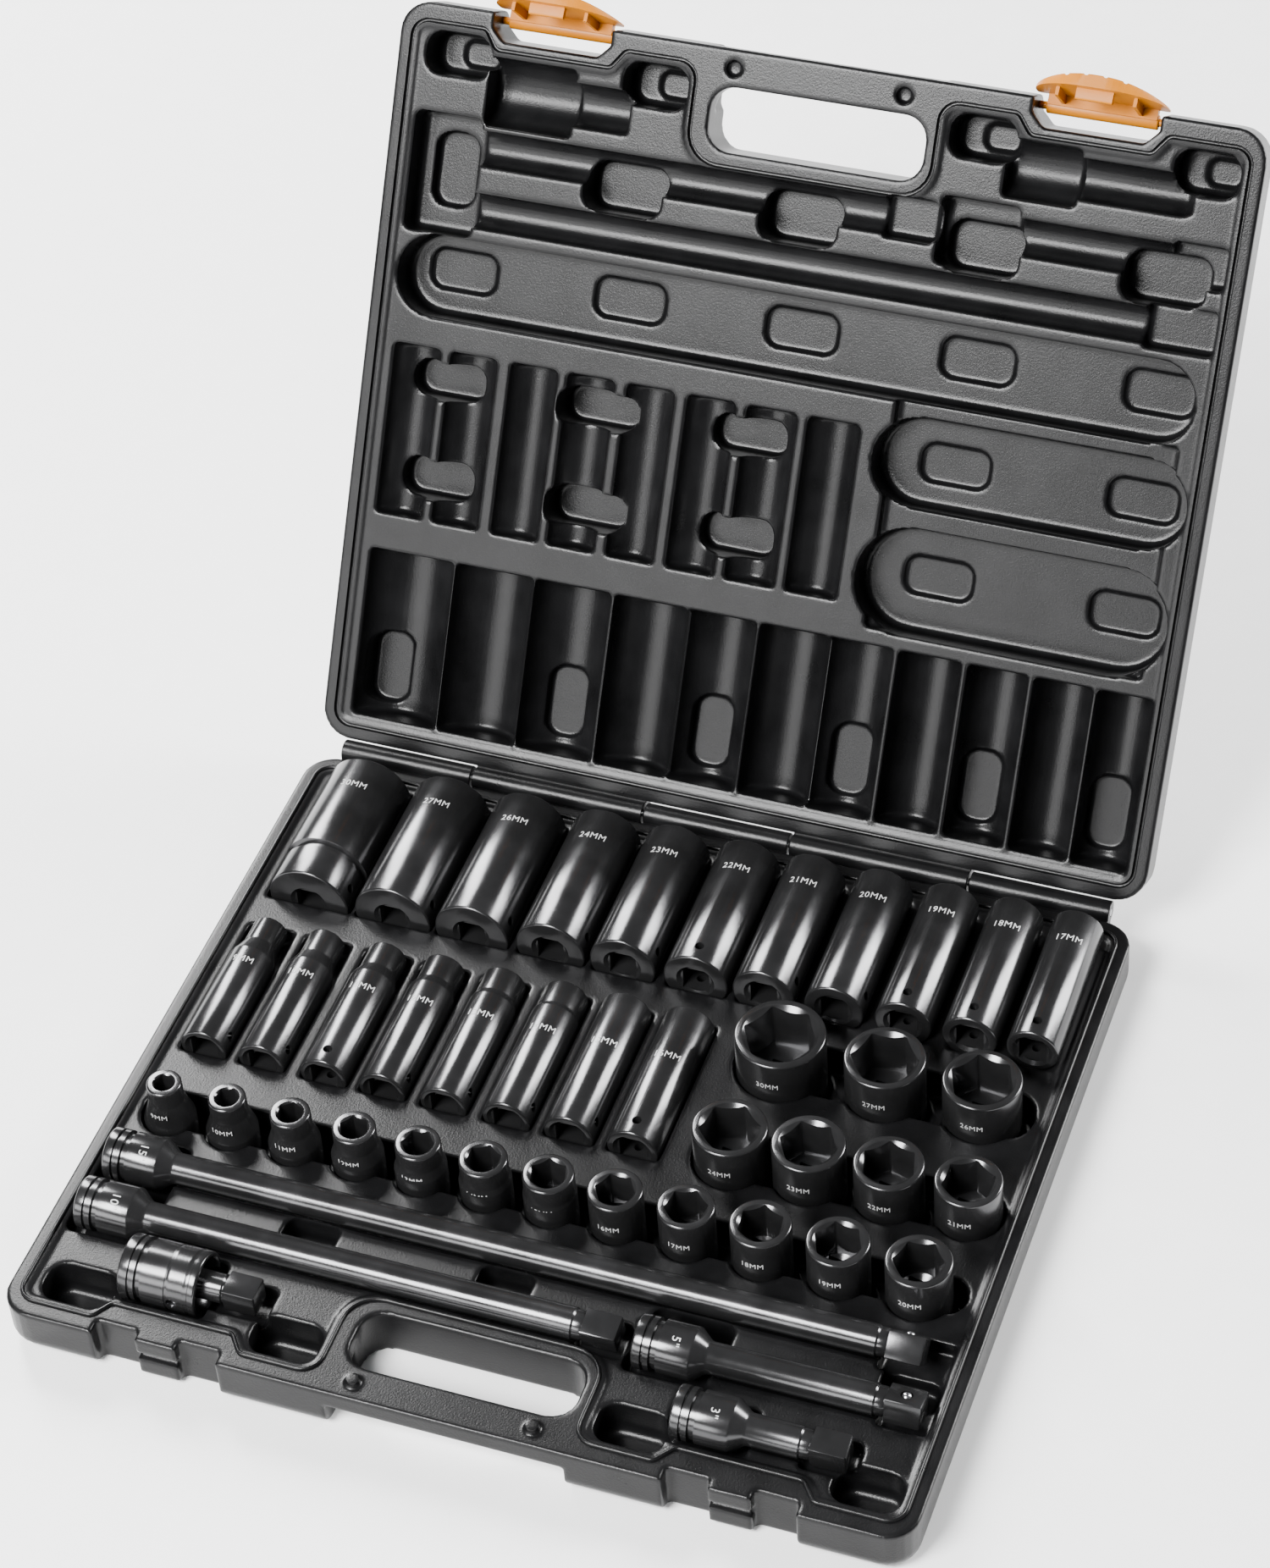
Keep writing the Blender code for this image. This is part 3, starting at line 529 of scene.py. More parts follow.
lid.bay(265, 399, 146, 256, 7, 3)          # lowers the walls between the bays
for x0, x1, y0, y1 in UPRIGHT_BAYS:
    lid.bay(x0, x1, y0, y1, UPRIGHT_DEPTH, (y1 - y0) / 2 - 0.6, 3)
for x0, x1 in FRONT_TACKS:
    lid.bay(x0, x1, 116, 136, TACK, 7, 1.5)
for x0, x1 in SHORT_BAY_TACKS:
    lid.bay(x0, x1, 167, 186, TACK, 7, 1.5)
    lid.bay(x0, x1, 221, 240, TACK, 7, 1.5)
print("lid bays over the upright sockets:", len(lid.body.data.polygons), "faces")

# %% Lid pockets over the drive tools
SHORT_BAR = BARS["3in"]
HEAD_BAY_DEPTH, TIP_BAY_DEPTH, WELL_DEPTH = 16.5, 13.5, 21.5
TIP_BAYS = ((381, 407, 54, 74), (246, 271, 54, 74), (374, 407, 83, 104))
BAR_TACKS = ((100, 139), (187, 225), (275, 312), (360, 399))

for tool in BARS.values():
    lid.trough("X", tool["y"], tool["x"] + 22, min(tool["end"] + 7, 407), 8.4, tool["z"])
lid.bay(12.4, 46.5, 50.6, 107.8, HEAD_BAY_DEPTH, 4, 3)
lid.bay(19, 41, 60, 96, TACK, 8, 1.5)
lid.bay(272.5, 309.5, 50.5, 82, HEAD_BAY_DEPTH, 3, 3)
lid.trough("X", SHORT_BAR["y"], 299.5, 334, 13.2, SHORT_BAR["z"], 2.5)
lid.trough("X", SHORT_BAR["y"], 330, 385, 9.4, SHORT_BAR["z"], 2.0)
lid.trough("X", JOINT["y"], 46.8, 89.8, 16.0, JOINT["z"], 2.0)
lid.trough("X", JOINT["y"], 86, 118, 10.2, JOINT["z"], 2.0)
for bay in TIP_BAYS:
    lid.bay(*bay, TIP_BAY_DEPTH, 3)
for x0, x1 in BAR_TACKS:
    lid.bay(x0, x1, 61, 84.5, TACK, 8, 2)
for x0, x1, y0, y1 in FINGER_WELLS:
    lid.bay(x0, x1, y0, y1, WELL_DEPTH, 8, 3)
    lid.bay(x0 + 12, x1 - 2, y0 + 4, y1 - 4, TACK, 5, 1)
for x, y in STUDS:
    lid.hole(x, y, STUD_HOLE_R, STUD_HOLE_D)
print("lid pockets over the drive tools:", len(lid.body.data.polygons), "faces")

# %% [markdown]
# ## Front of the lid
#
# Each latch hangs in a bay that is open to the front, with slanting back corners. The
# bay goes right through the lid, so it is a flat outline extruded and cut out.

# %% Latch bays in the lid's front edge
BAY_SIDE_Y, BAY_BACK_Y, BAY_SLANT = 7.4, 13.5, 6.0

for mid in LATCH_MIDS:
    x0, x1 = mid - NOTCH_W / 2, mid + NOTCH_W / 2
    corners = ((x0, -CLEAR, 1), (x1, -CLEAR, 1), (x1, BAY_SIDE_Y, 2),
               (x1 - BAY_SLANT, BAY_BACK_Y, 3), (x0 + BAY_SLANT, BAY_BACK_Y, 3),
               (x0, BAY_SIDE_Y, 2))
    combine(lid.body, plate(rounded_path(corners), True, -HALF_H - CLEAR, CLEAR))
print(len(LATCH_MIDS), "latch bays")

# %% [markdown]
# ## Softening the moulding
#
# Hot plastic blown against a mould never gives a sharp edge. Rebuilding each half as a
# fine even skin, smoothing it a little and then thinning the flat areas again rounds
# every rim and corner at once, including those where pockets run into each other.

# %% Softening
SKIN = 0.9                                 # size of the even skin, mm
SKIN_FACES = 185000


def soften(half):
    body = half.body
    apply_modifier(body, "REMESH", mode="VOXEL", voxel_size=SKIN * MM, use_smooth_shade=True)
    apply_modifier(body, "SMOOTH", factor=0.5, iterations=4)
    whole = len(body.data.polygons) * 2
    apply_modifier(body, "DECIMATE", ratio=min(1.0, SKIN_FACES / whole))
    print(body.name, "skin:", whole, "->", len(body.data.polygons), "triangles")


for half in (base, lid):
    soften(half)

# %% [markdown]
# ## Crisp details after softening
#
# The tongue, the groove and the hinge barrels are the fine features of the mould, so
# they are added to the softened skin. Base and lid barrels take turns along the hinge.

# %% Tongue, groove and hinge barrels
TONGUE_R, TONGUE_Z = 1.0, 0.3              # bead radius, height of its middle
GROOVE_R, GROOVE_Z = 1.3, -0.9
KNUCKLE_R, PIN_BORE_R = 5.5, 2.1
BASE_KNUCKLES = ((14.0, 82.0), (172.0, 245.0), (335.0, 403.0))      # x0, x1
LID_KNUCKLES = ((83.0, 171.0), (246.0, 334.0))
BORE_INSET = 8.0                           # the pin's hole stops short of the corners
WEB_REACH, WEB_Z = 7.4, (-9.0, -0.8)       # the web that ties a barrel to its half

combine(base.body, bead(RIM_PATH, False, TONGUE_R, TONGUE_Z), "UNION")
combine(lid.body, bead(RIM_PATH, True, GROOVE_R, GROOVE_Z))


def barrel(half, x0, x1):
    """A hinge barrel, its web run into the back wall of its own half."""
    ring = bar("X", HINGE_Y, 0, x0, x1, KNUCKLE_R, 0.5, 40)
    inward = WEB_REACH if half.folded else -WEB_REACH
    web = block(x0, x1, *sorted((HINGE_Y + inward, HINGE_Y)), *WEB_Z)
    round_edges(web, 0.5, lambda m, d: abs(d.x) < 0.1, 2)
    combine(ring, web, "UNION")
    combine(half.body, ring, "UNION")


for x0, x1 in BASE_KNUCKLES:
    barrel(base, x0, x1)
for x0, x1 in LID_KNUCKLES:
    barrel(lid, x0, x1)
for half in (base, lid):
    bore = bar("X", HINGE_Y, 0, BORE_INSET, CASE_W - BORE_INSET, PIN_BORE_R, sides=24)
    combine(half.body, bore)
print("hinge of", len(BASE_KNUCKLES) + len(LID_KNUCKLES), "barrels")

# %% [markdown]
# ## Opening the lid
#
# The unfolded lid is turned about the hinge axis to the angle that the frame gives. Wide
# flat faces next to small rounds shade unevenly, so the normals are weighted by area.


# %% Stand the lid open
def turn_about_hinge(piece, angle):
    turn = (Matrix.Translation(HINGE_AT) @ Matrix.Rotation(angle, 4, "X")
            @ Matrix.Translation(-HINGE_AT))
    piece.data.transform(turn)


turn_about_hinge(lid.body, math.pi - OPEN_ANGLE)
for half in (base, lid):
    select_only(half.body)
    bpy.ops.object.shade_smooth_by_angle(angle=math.radians(40))
    apply_modifier(half.body, "WEIGHTED_NORMAL", keep_sharp=True)
print("lid stands %.1f degrees open" % math.degrees(OPEN_ANGLE))

# %% [markdown]
# ## Finishes
#
# Five finishes cover the whole set: black moulded polyethylene with a fine sand-blasted
# grain, amber moulded plastic on the latches, steel with a satin black coat, bright
# ground steel on the pins and balls, and the pale etch of the size marks. Each is noise
# in object space, at the scale of the real grain, which drives bump, roughness and a
# slight change of colour.


# %% Node helpers
def node(tree, kind, **inputs):
    made = tree.nodes.new(kind)
    for name, value in inputs.items():
        made.inputs[name.replace("_", " ")].default_value = value
    return made


def ramp(tree, source, low, high, dark, light):
    made = tree.nodes.new("ShaderNodeMapRange")
    tree.links.new(source, made.inputs["Value"])
    for name, value in (("From Min", low), ("From Max", high),
                        ("To Min", dark), ("To Max", light)):
        made.inputs[name].default_value = value
    return made.outputs["Result"]


def tint(tree, source, dark, light):
    mix = tree.nodes.new("ShaderNodeMix")
    mix.data_type = "RGBA"
    tree.links.new(source, mix.inputs[0])
    mix.inputs[6].default_value = (*dark, 1)
    mix.inputs[7].default_value = (*light, 1)
    return mix.outputs[2]


def finish(name, dark, light, metallic, rough, grain_mm, grain_depth, specular=0.5):
    """A procedural finish: fine grain, broad cloudiness and a rough range."""
    material = bpy.data.materials.new(name)
    material.use_nodes = True
    tree = material.node_tree
    shader = tree.nodes["Principled BSDF"]
    place = tree.nodes.new("ShaderNodeTexCoord").outputs["Object"]
    grain = node(tree, "ShaderNodeTexNoise", Scale=1000 / grain_mm, Detail=3.0, Roughness=0.6)
    cloud = node(tree, "ShaderNodeTexNoise", Scale=45.0, Detail=4.0, Roughness=0.55)
    for texture in (grain, cloud):
        tree.links.new(place, texture.inputs["Vector"])
    tree.links.new(tint(tree, ramp(tree, cloud.outputs["Fac"], 0.35, 0.7, 0, 1), dark, light),
                   shader.inputs["Base Color"])
    tree.links.new(ramp(tree, cloud.outputs["Fac"], 0.3, 0.7, *rough), shader.inputs["Roughness"])
    bump = node(tree, "ShaderNodeBump", Strength=grain_depth, Distance=0.0003)
    tree.links.new(grain.outputs["Fac"], bump.inputs["Height"])
    tree.links.new(bump.outputs["Normal"], shader.inputs["Normal"])
    shader.inputs["Metallic"].default_value = metallic
    shader.inputs["Specular IOR Level"].default_value = specular
    return material


PLASTIC = finish("moulded_black", (0.003, 0.003, 0.0032), (0.006, 0.006, 0.0064), 0.0,
                 (0.27, 0.31), 0.9, 0.3, specular=0.2)
AMBER = finish("amber_moulding", (0.38, 0.12, 0.0), (0.44, 0.145, 0.0), 0.0,
               (0.34, 0.46), 1.2, 0.12, specular=0.2)
BLACK_STEEL = finish("black_coated_steel", (0.045, 0.045, 0.046), (0.065, 0.065, 0.067), 0.85,
                     (0.15, 0.22), 0.35, 0.05)
BRIGHT_STEEL = finish("ground_steel", (0.52, 0.52, 0.54), (0.66, 0.66, 0.68), 1.0,
                      (0.18, 0.3), 0.5, 0.1)
ETCH = finish("etched_mark", (0.34, 0.34, 0.34), (0.46, 0.46, 0.46), 0.0,
              (0.5, 0.7), 0.3, 0.2)


def dress(piece, material, body, slot, *nodes):
    """Give a piece its finish, the body it moves with and the nodes it stands for."""
    if not any(piece.data.materials):
        piece.data.materials.clear()
        piece.data.materials.append(material)
    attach(piece, body)
    if nodes:
        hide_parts(*nodes)


dress(base.body, PLASTIC, "base", "case_plastic", "case_base")
dress(lid.body, PLASTIC, "lid", "case_plastic", "case_lid")
for side in ("left", "right"):
    pin = frame["nodes"]["hinge_pin_" + side]
    pin.data.materials.clear()
    pin.data.materials.append(BRIGHT_STEEL)
print("case halves dressed")

# %% [markdown]
# ## Latches
#
# Each latch is an amber lever on a barrel at the lid's edge. Its face bulges like a lens,
# thick in the middle and thin at the ends, with finger grooves, and a hook behind it
# drops into the slot of the catch block. It is built closed and then swung out and up
# with the open lid.

# %% Latch face
LATCH_Y, LATCH_Z = 4.5, 15.5               # axis of the barrel, lid closed
LATCH_SWING = math.radians(15)
LATCH_HALF = 31.0
FACE_Y, FACE_Z = (-6.5, -0.4), (-17.5, 13.0)
BOW_R, TOP_CORNER = 26.0, 2.0
CROWN_R, CROWN_Y = 95.0, -6.2              # the large cylinder, and its nearest line
GRIP_GROOVES = (-13.5, -4.5, 4.5, 13.5)


def crowned_face(mid):
    """A plate with a bow-shaped lower edge, crowned by a very large cylinder."""
    face = block(mid - LATCH_HALF, mid + LATCH_HALF, *FACE_Y, *FACE_Z)
    round_edges(face, BOW_R, lambda m, d: abs(d.y) > 0.9 and m.z < FACE_Z[0] + 0.5, 14)
    round_edges(face, TOP_CORNER, lambda m, d: abs(d.y) > 0.9 and m.z > FACE_Z[1] - 0.1, 4)
    clear_selection()
    bpy.ops.mesh.primitive_cylinder_add(vertices=256, radius=CROWN_R * MM, depth=80 * MM,
                                        location=at(mid, CROWN_R + CROWN_Y, 0))
    combine(face, start_piece("crown"), "INTERSECT")
    front = FACE_Y[1] - 0.2
    round_edges(face, 0.5, lambda m, d: m.y < front and (abs(d.y) > 0.9 or abs(m.z) > 12.5
                                                         or abs(m.x - mid) > 14), 2)
    return face


def grip_groove(mid, x):
    """An upright round cutter, set back as the crown falls away from the middle."""
    groove = bar("X", 0, 0, -40, 30, 1.3, sides=16)
    groove.data.transform(Matrix.Translation(-at(0, 0, 0)))
    groove.data.transform(Matrix.Rotation(math.pi / 2, 4, "Y"))
    groove.data.transform(Matrix.Translation(at(mid + x, -6.9 + x * x / 168, -22)))
    return groove


print("latch face ready:", 2 * LATCH_HALF, "mm wide")

# %% Make the latches
BARREL_HALF, BARREL_R = 26.0, 3.4
STUB_HALF, STUB_R = 32.2, 1.8              # the stub pins reach into the lid's walls
HOOK_HALF, HOOK_Y, HOOK_Z = 8.5, 4.8, (-12.5, -9.4)
BEHIND_FACE = -1.0                         # parts on the back start inside the plate


def latch(side, mid):
    piece = crowned_face(mid)
    piece.name = "latch_lever_" + side
    for x in GRIP_GROOVES:
        combine(piece, grip_groove(mid, x))
    barrel_piece = bar("X", LATCH_Y, LATCH_Z, mid - BARREL_HALF, mid + BARREL_HALF,
                       BARREL_R, 0.6, 32)
    web = block(mid - BARREL_HALF + 0.5, mid + BARREL_HALF - 0.5, -2.2, LATCH_Y, 11, 15)
    combine(barrel_piece, web, "UNION")
    combine(piece, barrel_piece, "UNION")
    hook = block(mid - HOOK_HALF, mid + HOOK_HALF, BEHIND_FACE, HOOK_Y, *HOOK_Z)
    round_edges(hook, 0.8, lambda m, d: abs(d.x) > 0.9 and m.y > HOOK_Y - 0.1, 3)
    combine(piece, hook, "UNION")
    for x in (-18, 18):
        rib = block(mid + x - 0.8, mid + x + 0.8, BEHIND_FACE, 3.6, -8, 11.5)
        combine(piece, rib, "UNION")
    stub = bar("X", LATCH_Y, LATCH_Z, mid - STUB_HALF, mid + STUB_HALF, STUB_R, 0.4, 24)
    combine(piece, stub, "UNION")
    axis = at(mid, LATCH_Y, LATCH_Z)
    piece.data.transform(Matrix.Translation(axis) @ Matrix.Rotation(-LATCH_SWING, 4, "X")
                         @ Matrix.Translation(-axis))
    turn_about_hinge(piece, -OPEN_ANGLE)
    select_only(piece)
    bpy.ops.object.shade_smooth_by_angle(angle=math.radians(35))
    dress(piece, AMBER, "latch_" + side, "latch_plastic", "latch_" + side)
    return piece


for side, mid in zip(("left", "right"), LATCH_MIDS):
    made = latch(side, mid)
    print(made.name, len(made.data.polygons), "faces")

# %% [markdown]
# ## Turning steel
#
# Sockets, bars and the joint are all lathe work. A disc is extruded and scaled ring by
# ring along its axis, as a profile is cut on a lathe, and the hex and the square are cut
# afterwards, as a broach would do it.


# %% Lathe helpers
def turned(rings, sides=64, name="turned"):
    """A closed solid of revolution about Z through (height, radius) rings, in mm."""
    clear_selection()
    z, r = rings[0]
    bpy.ops.mesh.primitive_circle_add(vertices=sides, radius=r * MM, fill_type="NGON",
                                      location=(0, 0, z * MM))
    piece = start_piece(name)
    bpy.ops.object.mode_set(mode="EDIT")
    bpy.ops.mesh.select_all(action="SELECT")
    for z1, r1 in rings[1:]:
        bpy.ops.mesh.extrude_region_move(TRANSFORM_OT_translate={"value": (0, 0, (z1 - z) * MM)})
        bpy.ops.transform.resize(value=(r1 / r, r1 / r, 1), center_override=(0, 0, z1 * MM))
        z, r = z1, r1
    bpy.ops.mesh.select_all(action="SELECT")
    bpy.ops.mesh.normals_make_consistent(inside=False)
    bpy.ops.object.mode_set(mode="OBJECT")
    return piece


def prism(sides, across, z0, z1, turn=0.0, soft=0.5):
    """A hexagonal or square broach with slightly rounded corners."""
    clear_selection()
    bpy.ops.mesh.primitive_cylinder_add(
        vertices=sides, radius=across / 2 / math.cos(math.pi / sides) * MM,
        depth=(z1 - z0) * MM, location=(0, 0, (z0 + z1) / 2 * MM),
        rotation=(0, 0, turn))
    piece = start_piece("broach")
    round_edges(piece, soft, lambda m, d: abs(d.z) > 0.9, 2)
    return piece


def rounded_end(z, r, size, up):
    """Rings that round the outer edge of an end face."""
    steps = [(size * (1 - math.cos(a)), size * (1 - math.sin(a)))
             for a in (0, math.pi / 6, math.pi / 3, math.pi / 2)]
    rings = [(z - dz if up else z + dz, r - dr) for dz, dr in steps]
    return rings[::-1] if up else rings


print("lathe ready")

# %% Holes that every tool has
DRIVE = 12.9                               # square hole, a little over half an inch
DRIVE_MOUTH = ((-1, 9.9), (0, 9.3), (1.4, 7.6))


def square_hole(piece, depth):
    """The square drive hole in the lower end, with a turned lead-in."""
    combine(piece, prism(4, DRIVE, -1, depth, math.pi / 4, 0.7))
    combine(piece, turned(DRIVE_MOUTH, 48))


def lay_across(piece, height, turn=0.0):
    """Lay a piece made along Z across the axis, at this height and turn."""
    piece.data.transform(Matrix.Translation((0, 0, height * MM))
                         @ Matrix.Rotation(turn, 4, "Z")
                         @ Matrix.Rotation(math.pi / 2, 4, "X"))
    return piece


def cross_hole(piece, radius, height, turn=0.0, sides=24):
    """A round hole right through the piece, at right angles to its axis."""
    drill = turned([(-30, radius), (30, radius)], sides)
    combine(piece, lay_across(drill, height, turn))


print("square hole: %.1f mm across" % DRIVE)

# %% [markdown]
# ## Size marks
#
# A socket carries its size, etched pale on the black coat. Text is made a mesh and then
# wrapped round the barrel: along the text becomes angle, up the text becomes height.


# %% Size marks
ETCH_PROUD = 0.04                          # half the thickness of the letters, mm


def mark(words, radius, height, letter, turn=0.0):
    """Letters of this size, wrapped round a barrel at this height."""
    curve = bpy.data.curves.new("mark", "FONT")
    curve.body = words
    curve.size = letter * MM
    curve.align_x, curve.align_y = "CENTER", "CENTER"
    curve.extrude = ETCH_PROUD * MM
    curve.resolution_u = 3
    curve.space_character = 1.1
    piece = bpy.data.objects.new("mark", curve)
    bpy.context.scene.collection.objects.link(piece)
    select_only(piece)
    bpy.ops.object.convert(target="MESH")
    piece = bpy.context.object
    for vert in piece.data.vertices:
        x, y, z = vert.co
        reach = (radius + 0.05) * MM + z
        angle = x / (radius * MM) + turn
        vert.co = (reach * math.sin(angle), -reach * math.cos(angle), height * MM + y)
    piece.data.materials.clear()
    piece.data.materials.append(ETCH)
    return piece


print("marks ready")

# %% [markdown]
# ## Sockets
#
# A deep socket lies on its side with the hex towards the hinge, and a shallow one stands
# on its drive end. Small sizes step down to a thinner nose, because the drive end can't
# be thinner than its square. A cross hole near the drive end takes a locking pin.

# %% Socket shapes
SMALLEST, LARGEST = 9, 30                  # hex sizes in the set, mm
NOSE_LENGTH = {"deep": 14.0, "shallow": 10.0}
STEPS_BELOW = {"deep": 15, "shallow": 16}  # sizes under this have a thinner nose
HEX_PLAY = 0.2
LOCK_HOLE_R, LOCK_HOLE_Z = 2.2, 8.2


def radii(kind, size, tool):
    """Nose and drive end radius: the frame gives the larger one."""
    if kind == "deep" and size == LARGEST:
        return tool["r"], tool["r"] - 0.8
    if size >= STEPS_BELOW[kind]:
        return tool["r"], tool["r"]
    first, growth = (8.6, 0.45) if kind == "deep" else (8.1, 0.58)
    return first + growth * (size - SMALLEST), tool["r"]


def socket_rings(kind, size, length, nose, drive):
    """The outside of a socket: drive end, step to the nose, rounded mouth."""
    neck = length - NOSE_LENGTH[kind]
    rings = rounded_end(0, drive, 1.0, False)
    if kind == "deep" and size == LARGEST:
        rings += [(18.6, drive), (19.4, drive - 1.2), (21.8, drive - 1.2), (22.6, nose)]
    elif drive > nose + 0.3:
        shoulder = max(neck - 3.0 * (drive - nose), 10.0)
        rings += [(shoulder - 0.5, drive), (shoulder + 0.3, drive - 0.15),
                  (neck - 0.4, nose + 0.1), (neck + 0.5, nose)]
    return rings + rounded_end(length, nose, 1.0, True)


def socket(kind, size, tool, hole_turn, hex_turn):
    """Turn a socket, broach its hex and square, and drill its locking hole."""
    length = tool["length"]
    nose, drive = radii(kind, size, tool)
    piece = turned(socket_rings(kind, size, length, nose, drive), 72)
    hex_floor = length - (26 + size * 0.4 if kind == "deep" else 11 + size * 0.45)
    across = size + HEX_PLAY
    combine(piece, prism(6, across, hex_floor, length + 2, hex_turn, size * 0.03))
    corner = across / 2 / math.cos(math.pi / 6)
    mouth = turned([(length - 2.2, corner - 2.4), (length + 0.4, corner + 0.5),
                    (length + 2, corner + 0.5)], 48)
    combine(piece, mouth)
    bore = turned([(hex_floor - 2.5, 5.5), (hex_floor + 0.1, size * 0.47),
                   (hex_floor + 1.5, size * 0.47)], 36)
    combine(piece, bore)
    square_hole(piece, hex_floor)
    cross_hole(piece, LOCK_HOLE_R, LOCK_HOLE_Z, hole_turn)
    return piece


def finish_steel(piece, material=BLACK_STEEL, angle=32):
    piece.data.materials.clear()
    piece.data.materials.append(material)
    select_only(piece)
    bpy.ops.object.shade_smooth_by_angle(angle=math.radians(angle))


print("socket shapes ready for", SMALLEST, "to", LARGEST, "mm")

# %% Make the sockets
HOLE_UP = (11, 16, 17, 18, 19, 22)         # deep ones that lie with the cross hole on top
HOLE_ASIDE = math.radians(70)
DEEP_LETTER, SHALLOW_LETTER = 5.0, 4.0


def size_mark(kind, size, tool):
    """The size, on the widest stretch of barrel near the mouth."""
    nose, drive = radii(kind, size, tool)
    words = "%dMM" % size
    if kind == "shallow":
        reach = nose if nose >= drive - 0.3 else (nose + drive) / 2 + 0.2
        return mark(words, reach, tool["length"] - 13.5, SHALLOW_LETTER)
    if size == LARGEST:
        spot = 62
    else:
        spot = tool["length"] - 18 if tool["y"] > BACK_ROW_FROM else 49
    return mark(words, max(nose, drive), spot, DEEP_LETTER)


def put_socket(kind, size, tool):
    lying = kind == "deep"
    hole_turn = 0.0 if lying and size in HOLE_UP else HOLE_ASIDE
    hex_turn = 0.0 if lying else math.radians((size * 17) % 60)
    piece = socket(kind, size, tool, hole_turn, hex_turn)
    finish_steel(piece)
    piece = join([piece, size_mark(kind, size, tool)])
    if lying:
        piece.data.transform(Matrix.Rotation(-math.pi / 2, 4, "X"))
    piece.data.transform(Matrix.Translation(at(tool["x"], tool["y"], tool["z"])))
    name = "%s_socket_%02dmm" % (kind, size)
    piece.name = "%s_socket_turned_%02dmm" % (kind, size)
    dress(piece, BLACK_STEEL, name, "black_steel", name)
    return len(piece.data.polygons)


faces = sum(put_socket("deep", size, tool) for size, tool in DEEP.items())
faces += sum(put_socket("shallow", size, tool) for size, tool in SHALLOW.items())
print(len(DEEP) + len(SHALLOW), "sockets,", faces, "faces")

# %% [markdown]
# ## Extension bars
#
# A bar is one turning: a head with two grooves and a square hole, a cone down to the
# shaft, and a square end. A spring ball in one flat of the square holds the socket.

# %% Bars
HEAD_R, SHAFT_R, NECK_R = 12.0, 7.2, 6.6
SQUARE, TIP_L, HEAD_HOLE_D = 12.5, 16.0, 17.0
BALL_FROM_TIP, BALL_SEAT_R = 8.0, 2.75


def square_end(z0, z1):
    """The square drive end, with its long edges eased and its tip rounded over."""
    piece = prism(4, SQUARE, z0, z1, math.pi / 4, 0.8)
    round_edges(piece, 1.0, lambda m, d: abs(m.z - (z1 - CORNER.z / MM)) < 0.02, 2)
    return piece


def lay_along_x(piece, tool, roll):
    piece.data.transform(Matrix.Translation(at(tool["x"], tool["y"], tool["z"]))
                         @ Matrix.Rotation(math.pi / 2, 4, "Y")
                         @ Matrix.Rotation(roll, 4, "Z"))


def ball_roll(label, tool):
    """How far the square is rolled, read from where the frame's ball sits."""
    low, high = tool_box("detent_ball_" + label)
    middle = (low + high) / 2
    return math.atan2(middle.y - tool["y"], -(middle.z - tool["z"]))


def extension(label, tool):
    length = tool["end"] - tool["x"]
    neck = length - TIP_L
    rings = rounded_end(0, HEAD_R, 1.0, False)
    rings += [(4.2, HEAD_R), (4.5, 10.9), (5.3, 10.9), (5.6, HEAD_R), (8.0, HEAD_R),
              (8.4, 10.6), (10.8, 10.6), (11.2, HEAD_R), (25.5, HEAD_R),
              (26.3, HEAD_R - 0.3), (31.3, SHAFT_R + 0.5), (32.6, SHAFT_R),
              (neck - 5.0, SHAFT_R), (neck - 4.2, NECK_R), (neck - 1.0, NECK_R),
              (neck + 0.6, 6.0)]
    piece = turned(rings, 64, "extension_turned_" + label)
    roll = ball_roll(label, tool)
    combine(piece, square_end(neck, length), "UNION")
    square_hole(piece, HEAD_HOLE_D)
    seat = turned([(1.2, BALL_SEAT_R), (12, BALL_SEAT_R)], 24)
    seat.data.transform(Matrix.Translation((0, 0, (length - BALL_FROM_TIP) * MM))
                        @ Matrix.Rotation(math.pi / 2, 4, "Y"))
    combine(piece, seat)
    finish_steel(piece)
    number = mark(label.replace("in", '"'), HEAD_R, 18.5, 5.5, -math.pi / 2 - roll + 0.35)
    piece = join([piece, number])
    lay_along_x(piece, tool, roll)
    name = "extension_" + label
    dress(piece, BLACK_STEEL, name, "black_steel", name)
    print(name, len(piece.data.polygons), "faces, roll %.0f" % math.degrees(roll))


def detent_ball(label):
    """A hardened ball, at the size and place of the frame's own."""
    low, high = tool_box("detent_ball_" + label)
    middle = (low + high) / 2
    clear_selection()
    bpy.ops.mesh.primitive_uv_sphere_add(segments=32, ring_count=16,
                                         radius=(high.x - low.x) / 2 * MM, location=at(*middle))
    piece = start_piece("detent_ball_ground_" + label)
    finish_steel(piece, BRIGHT_STEEL, 60)
    name = "detent_ball_" + label
    dress(piece, BRIGHT_STEEL, name, "bright_steel", name)


for label, tool in BARS.items():
    extension(label, tool)
    detent_ball(label)

# %% [markdown]
# ## Universal joint
#
# The housing is a cup with a knurled band for the fingers. The drive piece ends in a
# ball inside the cup, and a pin through both lets it tilt. The knurl is cut into the
# mesh: every other point of the band is pressed in, which leaves small diamonds.

# %% Knurl
KNURL_SIDES, KNURL_PITCH, KNURL_DEPTH = 96, 0.8, 0.4


